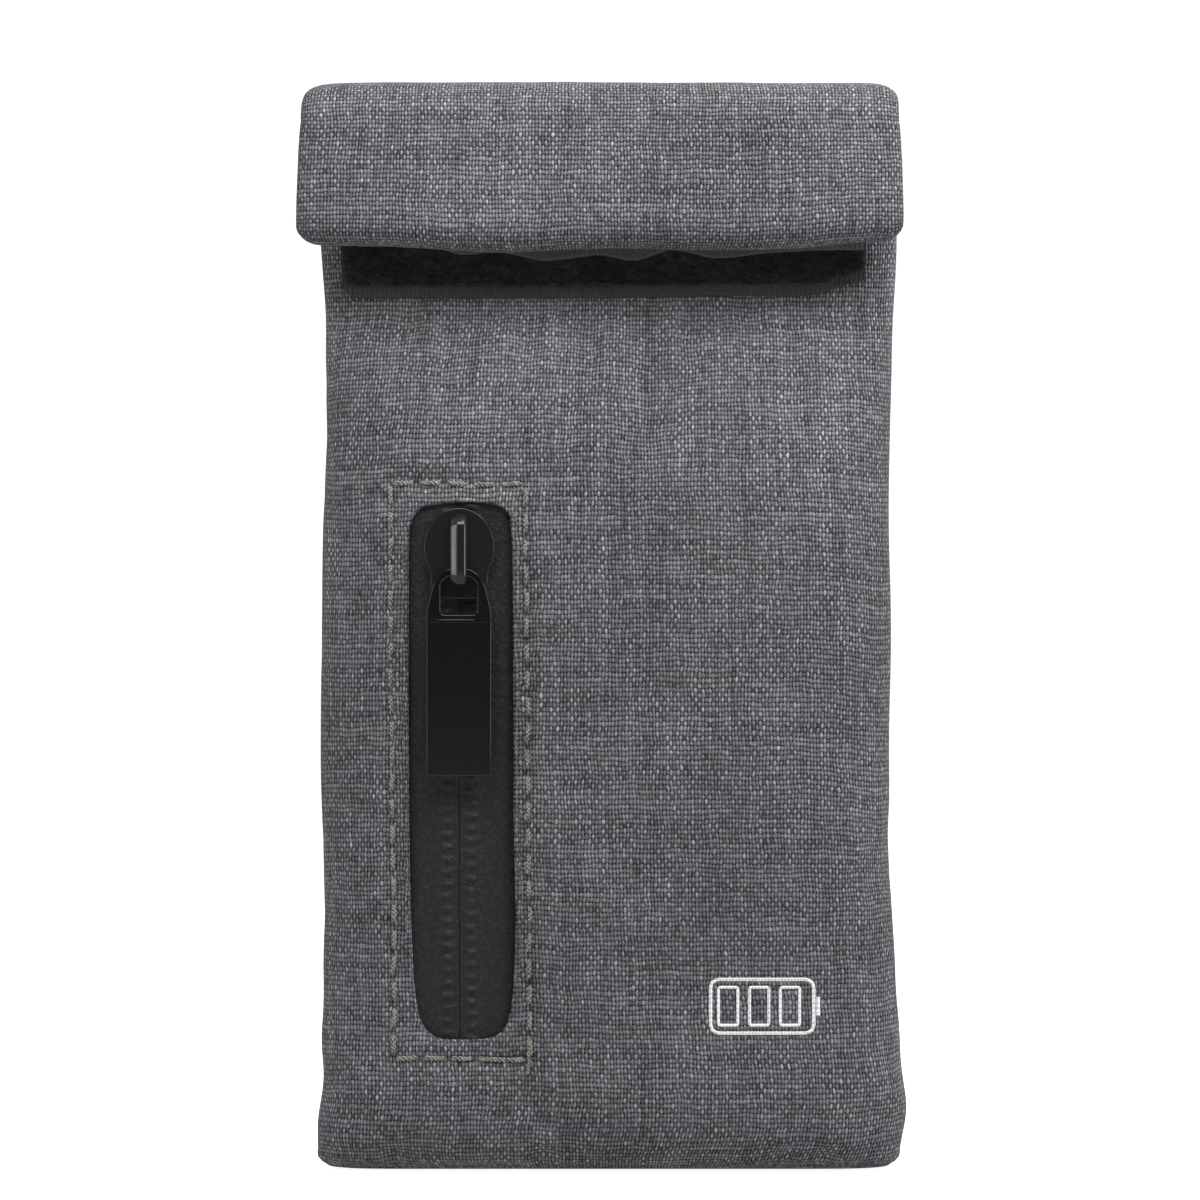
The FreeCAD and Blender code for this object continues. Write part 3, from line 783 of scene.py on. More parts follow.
body_moves = settled_moves(guide_rows, fold_start, bag, shares)

normals = grid_normals(bag, closed=True)
x, y, z = bag[..., 0], bag[..., 1], bag[..., 2]
round_way = np.broadcast_to(shares * 2 * PANEL, z.shape)
along_way = np.broadcast_to(row_length[:, None], z.shape)

# Gentle hand-made unevenness on top of the settled cloth
on_front = (np.arange(columns) < front_count)[None] * np.ones_like(z)
near_window = outline_distance(np.stack([x, z], -1)[:fold_start].reshape(-1, 2), window_outline)[0]
near_window = near_window.reshape(fold_start, columns)
away_from_zip = np.ones_like(z)
away_from_zip[:fold_start] = np.where(on_front[:fold_start] > 0, smoothstep(0.5, 9.0, near_window), 1.0)
body_rows = np.zeros_like(z)
body_rows[:fold_start] = 1.0
height_hold = smoothstep(0.5, 8, z) * body_rows
swell = 0.42 * soft_noise(x, z, 26.0, 3) + 0.14 * soft_noise(x, z * 0.6, 9.0, 5)
corner_pull = np.sin((x + z) * 0.62) * smoothstep(22, 2, np.hypot(np.abs(x) - 34, z - 4)) * 0.22
roll_rows = 1 - body_rows
roll_wave = 0.16 * soft_noise(round_way, along_way, 14.0, 7) + 0.05 * soft_noise(round_way, along_way, 5.0, 9)
offset = swell * away_from_zip * height_hold + corner_pull * height_hold + roll_wave * roll_rows
bag = bag + normals * offset[..., None] + body_moves

# The lower edge of the roll sags in the middle and lifts at its ends
# by how far, from its left end at -1 to its right end at 1
SAG = [
    (-1.01, -0.95), (-0.93, -0.8), (-0.7, -0.85), (-0.36, -1.4), (0.0, -1.05), (0.39, -1.3), (0.7, -0.8),
    (0.88, -0.3), (1.01, -0.5),
]
along_roll = np.clip((x - ROLL_X) / 36.0, -1, 1)
index = np.arange(len(guide_rows))
sag_share = smoothstep(flap_middle - 8, crease_index, index)
sag_share *= smoothstep(len(index) + 4, crease_index + 6, index)
sag = smooth_table(along_roll.ravel(), SAG)[:, 0].reshape(along_roll.shape)
bag[..., 2] += sag * sag_share[:, None]

# Cloth sinks along the row of stitches, and a little more where each stitch goes in
stitch_gap = np.full(bag.shape[:2], 99.0)
stitch_phase = np.zeros(bag.shape[:2])
run = 0.0
for start, end in zip(STITCH_CORNERS, STITCH_CORNERS[1:] + STITCH_CORNERS[:1]):
    start, end = np.array(start), np.array(end)
    edge = end - start
    place = np.stack([bag[..., 0], bag[..., 2]], -1)
    t = np.clip(((place - start) @ edge) / (edge @ edge), 0, 1)
    gap = np.linalg.norm(place - start - t[..., None] * edge, axis=-1)
    closer = gap < stitch_gap
    stitch_gap[closer] = gap[closer]
    stitch_phase[closer] = (run + t * np.linalg.norm(edge))[closer]
    run += np.linalg.norm(edge)
stitch_gap[(on_front == 0) | (body_rows == 0)] = 99.0
holes = 0.5 + 0.5 * np.cos(2 * math.pi * stitch_phase / STITCH_PITCH)
bag[..., 1] += (0.13 + 0.3 * holes**3) * np.exp(-((stitch_gap / 0.65) ** 2))
bag[..., 1] -= 0.10 * np.exp(-(((stitch_gap - 1.7) / 0.9) ** 2))
under_zip = np.exp(-(((bag[..., 0] - ZIP_X) / 9.0) ** 2) - ((bag[..., 2] - 8.0) / 4.5) ** 2)
bag[..., 1] += 0.5 * under_zip * on_front * body_rows
bag[:, :, 2] = np.maximum(bag[:, :, 2], 0.02)

# The mouth's hem turns in over the end of the lining
# inset, distance down from the rim, run along the cloth
HEM = [(0.18, -0.28, 0.4), (0.42, -0.33, 0.8), (0.6, -0.05, 1.2), (0.62, 1.2, 2.4), (0.62, 5.0, 6.2)]
hem_rows, hem_cloth = [], []
for inset, drop, run in HEM:
    hem_rows.append(section(guide_rows[-1], shares, inset) - [0, 0, drop])
    hem_cloth.append(cloth[-1] + [0, run])
bag = np.concatenate([bag, hem_rows])
cloth = np.concatenate([cloth, hem_cloth])
normals = grid_normals(bag, closed=True)


def cloth_piece(name, grid, flat, normal, front_count, rows, hole=None):
    """Some rows of the tube as one piece, with the outline hole cut out of its front panel."""
    first, last = rows
    order = panel_order(grid.shape[1], front_count)
    verts = grid[first:last, order].reshape(-1, 3)
    normal = normal[first:last, order].reshape(-1, 3)
    flat = flat[first:last].reshape(-1, 2)
    faces = grid_faces(last - first, len(order)).reshape(last - first - 1, -1, 4)
    faces = np.delete(faces, front_count - 1, axis=1).reshape(-1, 4)
    if hole is None:
        return make_object(name, verts, faces, flat, normal)
    front = np.tile(np.arange(len(order)) < front_count, last - first)
    near = front & (np.abs(verts[:, 0] - ZIP_X) < 10) & (verts[:, 2] > 12) & (verts[:, 2] < 84)
    distance = np.full(len(verts), 9.0)
    distance[near], nearest = outline_distance(verts[near][:, [0, 2]], hole)
    snap = np.zeros(len(verts), bool)
    snap[near] = np.abs(distance[near]) < 0.24
    moved = nearest[snap[near]]
    flat[snap] += moved - verts[snap][:, [0, 2]]
    verts[snap, 0], verts[snap, 2] = moved.T
    distance[snap] = 0
    faces = faces[distance[faces].mean(1) > -1e-6]
    used = np.unique(faces)
    index = np.full(len(verts), -1)
    index[used] = np.arange(len(used))
    return make_object(name, verts[used], index[faces], flat[used], normal[used])


tube = (bag, cloth, normals, front_count)
body_canvas = cloth_piece("canvas_body", *tube, (0, fold_start + 1), window_outline)
fold_canvas = cloth_piece("canvas_fold", *tube, (fold_start, flap_middle + 1))
roll_canvas = cloth_piece("canvas_roll", *tube, (flap_middle, len(bag)))
give(body_canvas, canvas, "pouch")
give(fold_canvas, canvas)
give(roll_canvas, canvas)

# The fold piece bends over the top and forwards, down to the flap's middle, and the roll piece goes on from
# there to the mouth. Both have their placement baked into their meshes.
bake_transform(fold_canvas)
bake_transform(roll_canvas)
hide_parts("shell_front", "shell_back", "side_seam_left", "side_seam_right", "bottom_seam")
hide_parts("top_fold")
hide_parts("flap_shell_back", "flap_shell_front", "flap_seam_left", "flap_seam_right",
            "crease_fold", "mouth_shell_front", "mouth_shell_back", "mouth_seam_left", "mouth_seam_right")

# Lining: the same tube a little smaller, coarser because only its end shows
lining_shares, lining_front_count = panel_columns(1.5, 1.5, 0.8, 1.5)
lining_rows, lining_grid = tube_grid(1.4, 1.4, lining_shares, inset=CANVAS + 0.15)
lining_flat = cloth_places(lining_rows, lining_shares, lining_front_count)
lining_normals = -grid_normals(lining_grid, closed=True)
lining_fold, lining_middle, lining_run = landmarks(lining_rows)
lining_front_face = node_box("liner_front")[0][1]
inner = lining_grid[:lining_fold + 1]
inner[..., 1] = np.maximum(inner[..., 1], np.where(inner[..., 2] < 100, lining_front_face, -9))
inner[..., 2] += 1.9 * smoothstep(3.0, 0.0, inner[..., 2])
lining_grid += settled_moves(lining_rows, lining_fold, lining_grid, lining_shares)
parts = [("lining_body", 0, lining_fold + 1), ("lining_fold", lining_fold, lining_middle + 1),
         ("lining_roll", lining_middle, len(lining_rows))]
for name, first, last in parts:
    piece = cloth_piece(name, lining_grid, lining_flat, lining_normals, lining_front_count, (first, last))
    give(piece, lining)
    if name == "lining_body":
        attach(piece, "pouch")
        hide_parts("liner_front", "liner_back")
    elif name == "lining_fold":
        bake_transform(piece)
    else:
        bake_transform(piece)
        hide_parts("flap_liner_back", "flap_liner_front", "mouth_liner_front", "mouth_liner_back")


def front_y(px, pz):
    """How far forward the canvas front stands at places on it, read between the two nearest rows."""
    front = bag[:fold_start, :front_count]
    rows_z = np.maximum.accumulate(front[:, front_count // 2, 2])
    out = []
    for a, b in zip(np.atleast_1d(px), np.atleast_1d(pz)):
        r = int(np.clip(np.searchsorted(rows_z, b) - 1, 0, len(rows_z) - 2))
        line_low, line_high = front[r], front[r + 1]
        y_low = np.interp(a, line_low[:, 0], line_low[:, 1])
        y_high = np.interp(a, line_high[:, 0], line_high[:, 1])
        t = (b - rows_z[r]) / max(rows_z[r + 1] - rows_z[r], 1e-6)
        out.append(y_low + (y_high - y_low) * min(max(t, 0), 1))
    return np.array(out)


def window_edge():
    """The turned edge of the zip window. Its outline runs clockwise, so that an inset moves it outwards."""
    outline = closed_curve([(ZIP_X + x, z) for x, z in WINDOW], 14)
    profile = np.array([(0.45, 0.03), (0.12, 0.0), (-0.08, 0.08), (-0.2, 0.26), (-0.18, 0.48), (0.0, 0.66),
                        (0.6, 0.72), (2.2, 0.74)])
    surface = front_y(outline[:, 0], outline[:, 1])
    grid = np.stack([stand(outline_inset(outline, out), surface + depth) for out, depth in profile])
    flat = grid[..., [0, 2]] + [36.35, 0]
    flat[..., 0] += profile[:, 1:]
    faces = grid_faces(len(profile), len(outline), closed=True)[:, ::-1]
    obj = make_object("window_edge", grid.reshape(-1, 3), faces, flat.reshape(-1, 2))
    return give(obj, canvas, "pouch")


edge_strip = window_edge()


def slab(front, back):
    """Vertices and faces of a closed sheet between two grids of points, the first facing -Y."""
    rows, columns = front.shape[:2]
    count = rows * columns
    faces = [tuple(f) for f in grid_faces(rows, columns)]
    faces += [tuple(i + count for i in f[::-1]) for f in faces]
    border = list(range(columns)) + [r * columns + columns - 1 for r in range(1, rows)]
    border += [(rows - 1) * columns + c for c in range(columns - 2, -1, -1)]
    border += [r * columns for r in range(rows - 2, 0, -1)]
    faces += [(b, a, a + count, b + count) for a, b in zip(border, border[1:] + border[:1])]
    return np.concatenate([front.reshape(-1, 3), back.reshape(-1, 3)]), faces


def sheet_points(x, y, z):
    return np.stack(np.broadcast_arrays(x, y, z), -1).astype(float)


# ---- Zip ------------------------------------------------------------------

COIL_PITCH = 1.48
TAPE_FACE = node_box("zip_tape_left")[0][1] + 0.08


def zip_tape(name, side, low, high):
    """One half of the coated tape, with the coil behind it showing through as a row of bumps."""
    reach = (ZIP_X - low[0]) if side < 0 else (high[0] - ZIP_X)
    across = np.concatenate([np.linspace(0.006, 0.3, 7), np.linspace(0.4, 2.9, 24),
                             np.linspace(3.3, reach, 12)])
    if side < 0:
        across = across[::-1]
    up = np.arange(low[2], high[2], 0.14)
    d, z = np.meshgrid(across, up)
    x = ZIP_X + side * d
    tooth = (z - low[2]) / COIL_PITCH + (0.5 if side > 0 else 0.0)
    wander = 0.16 * soft_noise(z, z * 0, 2.2, 31 + side)
    arc = tooth - 0.16 * (d - 1.45) ** 2
    crest = (0.5 + 0.5 * np.cos(2 * np.pi * arc)) ** 1.6
    bump = 0.4 * crest * np.exp(-(((d - 1.45 - wander) / 0.62) ** 2)) * (0.8 + 0.4 * soft_noise(z, x, 3.0, 4))
    ridge = 0.2 * smoothstep(3.4, 1.7, d)
    groove = 0.14 * np.exp(-((d / 0.12) ** 2))
    hidden_end = smoothstep(WINDOW_TOP + 0.2, WINDOW_TOP + 1.4, z)
    hidden_end += smoothstep(WINDOW_FOOT - 0.2, WINDOW_FOOT - 1.4, z)
    waver = 0.07 * soft_noise(x, z, 7.0, 6 + side) + 0.5 * smoothstep(5.0, 7.0, d) + 0.8 * hidden_end
    front = sheet_points(x, TAPE_FACE - ridge - bump + groove + waver, z)
    back = sheet_points(x, np.maximum(TAPE_FACE + 0.5, front[..., 1] + 0.2), z)
    verts, faces = slab(front, back)
    return give(make_object(name, verts, faces), zip_tape_look, "pouch")


for name, node, side in (
    ("coated_tape_left", "zip_tape_left", -1), ("coated_tape_right", "zip_tape_right", 1),
):
    low, high = node_box(node)
    tape = zip_tape(name, side, low, high)
    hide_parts(node)


def rounded_edge(bevel, front, back):
    """Profile of a plate's edge as inset and y, from the front face round to the back."""
    angles = np.linspace(0, math.pi / 2, 5)
    near = [(bevel * (1 - math.sin(a)), front + bevel * (1 - math.cos(a))) for a in angles]
    far = [(bevel * (1 - math.cos(a)), back - bevel * (1 - math.sin(a))) for a in angles]
    return [(bevel + 0.06, front)] + near + far + [(bevel + 0.06, back)]


def bevelled_plate(outline, front, back, bevel, dome=0.0):
    """A plate with rounded edges. outline is in x and z, anticlockwise as seen from the front."""
    centre = outline.mean(0)
    count = len(outline)
    face = outline_inset(outline, bevel + 0.06) - centre
    rings = [stand(centre + face * share, front - dome * (1 - share**2)) for share in (0.3, 0.6, 0.85)]
    rings += [stand(outline_inset(outline, inset), y) for inset, y in rounded_edge(bevel, front, back)]
    verts = np.concatenate(rings + [[[centre[0], front - dome, centre[1]], [centre[0], back, centre[1]]]])
    faces = list(grid_faces(len(rings), count, closed=True)[:, ::-1])
    first, last = len(rings) * count, len(rings) * count + 1
    faces += [(first, k, (k + 1) % count) for k in range(count)]
    start = (len(rings) - 1) * count
    faces += [(last, start + (k + 1) % count, start + k) for k in range(count)]
    return verts, faces


def bevelled_frame(outer, inner, front, back, bevel):
    """A flat ring between two outlines with the same number of points, with rounded edges."""
    count = len(outer)
    edge = rounded_edge(bevel, front, back)
    rings = [stand(outline_inset(outer, inset), y) for inset, y in edge]
    rings += [stand(outline_inset(inner, -inset), y) for inset, y in edge[::-1]]
    faces = list(grid_faces(len(rings), count, closed=True)[:, ::-1])
    start = (len(rings) - 1) * count
    faces += [(k, (k + 1) % count, start + (k + 1) % count, start + k) for k in range(count)]
    return np.concatenate(rings), faces


def bent(a, b, c, steps):
    """Points along the quadratic curve from a to c that leans towards b."""
    t = np.linspace(0, 1, steps)[:, None]
    return (1 - t) ** 2 * a + 2 * t * (1 - t) * b + t**2 * c


def rectangle(left, low, right, high):
    return [(left, low), (right, low), (right, high), (left, high)]


def round_corners(corners, radius, steps=6):
    """A polygon with rounded corners. radius may be one value or one per corner."""
    corners = np.array(corners, float)
    radius = np.broadcast_to(radius, len(corners))
    out = []
    for k, corner in enumerate(corners):
        before, after = unit(corners[k - 1] - corner), unit(corners[(k + 1) % len(corners)] - corner)
        half = math.acos(np.clip(before @ after, -1, 1)) / 2
        reach = radius[k] / math.tan(half)
        a, b = corner + before * reach, corner + after * reach
        out.append(bent(a, corner * 0.9 + (a + b) / 2 * 0.1, b, steps))
    return np.vstack(out)


def slider():
    """Slider of the zip: an arched front plate, the post behind it and a rear plate."""
    face, low, high = slider_low[1], slider_low[2], slider_high[2]
    arch = [(math.cos(a) * 4.22, high - 4.95 + math.sin(a) * 4.95) for a in np.linspace(0, math.pi, 36)]
    sides = [(-4.1, high - 5.9), (-3.55, high - 7.4), (-3.36, high - 8.8), (-3.3, low + 0.6),
             (-2.9, low + 0.1)]
    outline = np.array(arch + sides + [(-x, z) for x, z in sides[::-1]])
    pile = Pile()
    pile.add(*bevelled_plate(outline + (ZIP_X, 0), face, face + 0.9, 0.16, dome=0.02))
    post = round_corners([(-1, high - 6), (1, high - 6), (0.6, high - 2.4), (-0.6, high - 2.4)], 0.3)
    pile.add(*bevelled_plate(post + (ZIP_X, 0), face + 0.8, slider_high[1] - 0.4, 0.08))
    rear = outline * (0.94, 1) + (ZIP_X, 0)
    pile.add(*bevelled_plate(rear, slider_high[1] - 0.8, slider_high[1], 0.14))
    body = give(pile.build("slider_casting"), slider_look, "slider")
    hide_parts("slider_body")
    reach = bail_low[1] + 0.4
    top, bottom, root = bail_high[2] - 0.4, bail_low[2] + 0.4, bail_high[1] + 0.15
    corners = np.array([(root, top), (reach + 0.75, top), (reach, top - 1.0), (reach, bottom + 0.8),
                        (reach + 0.5, bottom), (root, bottom)])
    path = [bent(a * 0.15 + b * 0.85, b, b * 0.85 + c * 0.15, 6)
            for a, b, c in zip(corners, corners[1:], corners[2:])]
    path = np.vstack([corners[:1]] + path + [corners[-1:]])
    tangent = unit(np.gradient(path, axis=0))
    profile = [(-0.97, -0.38), (0.97, -0.38), (0.97, 0.05), (0.67, 0.4), (-0.17, 0.4), (-0.97, -0.1)]
    profile = round_corners(profile, [0.12, 0.12, 0.05, 0.05, 0.05, 0.05], 4)[::-1]
    verts = [(ZIP_X + u, y + tz * v, z - ty * v)
             for (y, z), (ty, tz) in zip(path, tangent) for u, v in profile]
    bail = make_object("bail_bridge", verts, capped_faces(len(path), len(profile)))
    give(bail, slider_look, "slider")
    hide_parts("slider_bail")


def pull_tab():
    """The pull: a window frame that hangs in the bail, and its long plate."""
    top, bottom = link_high[2], link_low[2]
    shoulder = np.array([(0.0, top), (1.3, top - 0.02), (2.25, top - 0.6), (2.95, top - 1.7),
                         (3.35, top - 3.0), (3.7, top - 4.4), (3.86, bottom + 0.9), (3.86, bottom)])
    outer = np.vstack([shoulder[::-1], shoulder[1:] * (-1, 1)]) + (ZIP_X, 0)
    window = [(-2.2, bottom + 1.05), (2.2, bottom + 1.05), (2.2, top - 1.75), (1.35, top - 0.95),
              (-1.35, top - 0.95), (-2.2, top - 1.75)]
    window = round_corners(window, [0.45, 0.45, 0.5, 0.5, 0.5, 0.5])
    inner = window + (ZIP_X, 0)
    middle = (inner.min(0) + inner.max(0)) / 2

    def around(outline):
        """An outline at evenly spread angles about the middle."""
        closed = np.vstack([outline, outline[:1]])
        steps = np.arange(len(outline) * 10) / 10
        fine = np.column_stack([np.interp(steps, np.arange(len(closed)), line) for line in closed.T]) - middle
        at = (np.arange(96) + 0.5) / 96 * 2 * math.pi - math.pi
        angle = np.arctan2(fine[:, 1], fine[:, 0])
        r = np.interp(at, angle, np.linalg.norm(fine, axis=1), period=2 * math.pi)
        return middle + np.column_stack([np.cos(at), np.sin(at)]) * r[:, None]

    face = link_low[1] - 0.05
    pile = Pile()
    pile.add(*bevelled_frame(around(outer), around(inner), face, link_high[1], 0.15))
    rib = np.column_stack([ZIP_X + np.linspace(-2.75, 1.85, 12), np.full(12, bottom + 0.42)])
    pile.add(*tube_mesh(stand(rib, face), 0.13 * np.sin(np.linspace(0.25, math.pi - 0.25, 12)) ** 0.6, 8))
    link = give(pile.build("pull_frame"), pull_look, "pull")
    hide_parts("pull_link")
    plate = round_corners(rectangle(-3.85, plate_low[2], 3.85, plate_high[2] + 0.55), [0.35, 0.35, 0.2, 0.2])
    verts, faces = bevelled_plate(plate + (ZIP_X, 0), link_low[1] - 0.046, plate_high[1] - 0.4, 0.15)
    plate = give(make_object("pull_blade", verts, faces), pull_look, "pull")
    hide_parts("pull_plate")


slider()
pull_tab()

# ---- Sewing thread --------------------------------------------------------


def add_stitch(pile, start, end, surface, radius, rise, seed):
    """One stitch of two twisted plies, lying from hole to hole. start and end are in x and z."""
    t = np.linspace(0, 1, 15)
    place = start + (end - start) * t[:, None]
    along = unit(end - start)
    across = np.array([-along[1], along[0]])
    face = surface(place[:, 0], place[:, 1])
    lift = rise * np.sin(np.pi * t) ** 0.45 - 0.5 * (np.abs(2 * t - 1) ** 9)
    turns = np.linalg.norm(end - start) / 1.15
    for ply in (0, 1):
        phase = 2 * np.pi * turns * t + ply * np.pi + seed
        side = radius * 0.95 * np.cos(phase)
        out = radius * 0.6 * np.sin(phase)
        pile.add(*tube_mesh(stand(place + across * side[:, None], face - lift - out), radius))


def stitch_line(pile, start, end, surface, pitch=STITCH_PITCH, radius=0.165, rise=0.2, gap=0.85, drift=0.12):
    """A straight row of stitches between two points, a little uneven."""
    start, end = np.array(start, float), np.array(end, float)
    count = max(int(round(np.linalg.norm(end - start) / pitch)), 1)
    step = (end - start) / count
    along = unit(step)
    side = np.array([-along[1], along[0]])
    sway = noise_source.uniform(-drift, drift, count + 1)
    for k in range(count):
        a = start + step * k + along * gap / 2 + side * sway[k]
        b = start + step * (k + 1) - along * gap / 2 + side * sway[k + 1]
        add_stitch(pile, a, b, surface, radius, rise, noise_source.uniform(0, 6))


def window_stitches():
    """The stitched rectangle around the zip, sewn over more than once at its lower right corner."""
    pile = Pile()
    for start, end in zip(STITCH_CORNERS, STITCH_CORNERS[1:] + STITCH_CORNERS[:1]):
        stitch_line(pile, start, end, front_y)
    corner = np.array(STITCH_CORNERS[2])
    for start, end, pitch, radius, rise in (
        ((-0.15, 3.0), (-0.35, -2.1), 2.6, 0.12, 0.22), ((-0.3, 1.5), (0.05, -1.0), 2.5, 0.12, 0.26),
        ((-4.6, 0.2), (-0.5, 0.1), 2.2, 0.165, 0.24),
    ):
        stitch_line(pile, corner + start, corner + end, front_y, pitch=pitch, radius=radius, rise=rise)
    stitches = give(pile.build("topstitch"), thread_look, "pouch")
    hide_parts("window_stitching")


window_stitches()

# ---- Hook and loop strips -------------------------------------------------

RIB_PITCH = 0.58
# Lower edge of the hook strip where it hangs out under the roll: x and height
LIP = [
    (-34.5, 111.9), (-29.5, 111.8), (-25.5, 111.1), (-21.4, 111.0), (-17.0, 110.0), (-13.6, 110.35),
    (-7.0, 109.3), (-4.0, 109.6), (-0.8, 109.95), (3.6, 109.3), (7.5, 110.5), (13.2, 109.6), (19.5, 110.2),
    (25.0, 110.5), (31.5, 110.6),
]


def strip_base(name, look, x_range, low_edge, high, front, back=None):
    """Woven base of a strip. Both edges are ribbed, and the middle carries the pile. Given a back,
    it ripples in front of a flat face. Otherwise it is evenly thick and bends back below the roll."""
    x = np.arange(*x_range, 0.072)
    share = np.concatenate([np.linspace(0, 0.16, 9), np.linspace(0.18, 0.82, 8), np.linspace(0.84, 1, 9)])
    s, gx = np.meshgrid(share, x, indexing="ij")
    low = low_edge(x)
    z = low + (high - low) * s + 0.05 * soft_noise(gx, s, 1.0, 12)
    near_edge = np.minimum(s, 1 - s)
    ribs = (0.5 + 0.5 * np.cos(2 * np.pi * gx / RIB_PITCH + 2 * s)) ** 0.8
    rib = 0.10 * smoothstep(0.165, 0.13, near_edge) * ribs
    fall = 0.22 * (1 - smoothstep(0.0, 0.022, near_edge))
    if back:
        ripple = 0.12 * soft_noise(gx, z, 8.0, 23)
        y_back = np.full_like(z, back - 0.02)
        y_front = np.minimum(front + 0.2 - rib + fall * 0.7 + ripple, y_back - 0.12)
    else:
        y_front = front + 0.12 - rib + fall * 0.5 + 0.45 * smoothstep(112.2, 110.4, z)
        y_back = y_front + 0.4
    verts, faces = slab(sheet_points(gx, y_front, z), sheet_points(gx, y_back, z))
    return give(make_object(name, verts, faces), look)


def sew_strip(name, look, body, low, high, heights, face, rise):
    """Rows of fine stitches along a strip."""
    pile = Pile()
    for height in heights:
        stitch_line(pile, (low[0] + 1, height), (high[0] - 1, height), lambda x, z: np.full_like(x, face),
                    pitch=2.9, radius=0.07, rise=rise)
    return give(pile.build(name), look, body)


def loop_low_edge(x):
    corner = 1.1 * np.clip((x - (loop_low[0] + 2.2)) / -2.2, 0, 1) ** 2
    right = 1.9 * smoothstep(24.0, loop_high[0] + 0.6, x)
    return loop_low[2] + 0.1 + corner + right + 0.35 * smoothstep(-2, 16, x)


def add_loops(pile, count, x_range, low_edge, high, face, reach, seed):
    """Small upright loops of fibre, standing out from the tape towards -Y."""
    source = np.random.default_rng(seed)
    x = source.uniform(*x_range, count)
    share = source.uniform(0.16, 0.84, count)
    low = low_edge(x)
    z = low + (high - low) * share
    for k in range(count):
        angle, tilt = source.uniform(0, math.pi), source.uniform(-0.5, 0.5)
        height = reach * source.uniform(0.55, 1.1)
        width = source.uniform(0.12, 0.32)
        t = np.linspace(0, math.pi, 7)
        side = width * np.cos(t) * (1 + 0.4 * np.sin(t))
        out = height * np.sin(t) ** 0.8
        lean = tilt * out
        points = np.column_stack([x[k] + side * math.cos(angle) - lean * math.sin(angle), face - out + 0.05,
                                  z[k] + side * math.sin(angle) + lean * math.cos(angle) - 0.15 * out])
        pile.add(*tube_mesh(points, 0.032, 3))


def loop_strip():
    """The soft strip on the body, under the roll."""
    base = strip_base("loop_base", loop_border_look, (loop_low[0], loop_high[0]), loop_low_edge, loop_high[2],
                      loop_low[1] + 0.42, loop_high[1])
    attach(base, "pouch")
    pile = Pile()
    add_loops(pile, 5200, (loop_low[0] + 0.15, loop_high[0] - 0.15), loop_low_edge, loop_high[2],
              loop_low[1] + 0.62, 0.62, 5)
    give(pile.build("loop_fibres"), loop_look, "pouch")
    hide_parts("loop_strip")
    thread = sew_strip("loop_topstitch", loop_border_look, "pouch", loop_low, loop_high,
                       (loop_low[2] + 1.9, loop_high[2] - 1.1), loop_low[1] + 0.55, 0.08)
    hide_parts("loop_strip_stitching")


def lip_edge(x):
    return smooth_table(np.clip(x, LIP[0][0] + 1e-3, LIP[-1][0] - 1e-3), LIP)[:, 0]


def hook_strip():
    """The stiff strip on the end of the roll. Its lower edge hangs out below the roll."""
    base = strip_base("hook_base", hook_border_look, (hook_low[0], hook_high[0] + 1.9), lip_edge,
                      hook_high[2], hook_low[1])
    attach(base, "mouth")
    pile = Pile()
    source = np.random.default_rng(8)
    root = hook_low[1] + 0.5
    for x in np.arange(hook_low[0] + 0.7, hook_high[0] - 0.5, 0.95):
        for z in np.arange(hook_low[2] + 3.6, hook_high[2] - 1.2, 0.85):
            turn = source.uniform(-0.5, 0.5) + (math.pi if source.random() < 0.5 else 0)
            t = np.linspace(0, 1, 8)
            out = 0.62 * np.sin(np.minimum(t * 1.45, 1.35) * math.pi / 2) - 0.18 * smoothstep(0.72, 1, t)
            reach = 0.34 * smoothstep(0.35, 1.0, t)
            place = np.column_stack([x + reach * math.sin(turn) * 0.4, z + reach * math.cos(turn)])
            pile.add(*tube_mesh(stand(place, root + out), 0.055, 4))
    give(pile.build("hooks"), hook_look, "mouth")
    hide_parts("hook_strip")
    thread = sew_strip("hook_topstitch", hook_border_look, "mouth", hook_low, hook_high,
                       (hook_low[2] + 3.1, hook_high[2] - 0.9), hook_low[1] + 0.62, -0.08)
    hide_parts("hook_strip_stitching")


loop_strip()
hook_strip()

# ---- Printed battery sign and inner pieces --------------------------------


def print_ribbon(pile, outline, width):
    """A printed line that follows a closed outline over the cloth."""
    fine = []
    for a, b in zip(np.roll(outline, 1, 0), outline):
        count = max(2, int(np.linalg.norm(b - a) / 0.25))
        fine.append(a + (b - a) * np.linspace(0, 1, count, endpoint=False)[:, None])
    fine = np.vstack(fine)
    profile = [(-width / 2, 0.15), (-width / 2, -0.035), (0, -0.05), (width / 2, -0.035), (width / 2, 0.15)]
    rings = []
    for inset, depth in profile:
        place = outline_inset(fine, inset)
        rings.append(stand(place, front_y(place[:, 0], place[:, 1]) + depth))
    pile.add(np.concatenate(rings), grid_faces(len(rings), len(fine), closed=True))


def print_block(pile, low, high):
    """A printed filled rectangle that follows the cloth."""
    across, up = np.linspace(low[0], high[0], 6), np.linspace(low[1], high[1], 18)
    x, z = np.meshgrid(across, up)
    y = front_y(x.ravel(), z.ravel()).reshape(x.shape)
    pile.add(*slab(sheet_points(x, y - 0.05, z), sheet_points(x, y + 0.15, z)))


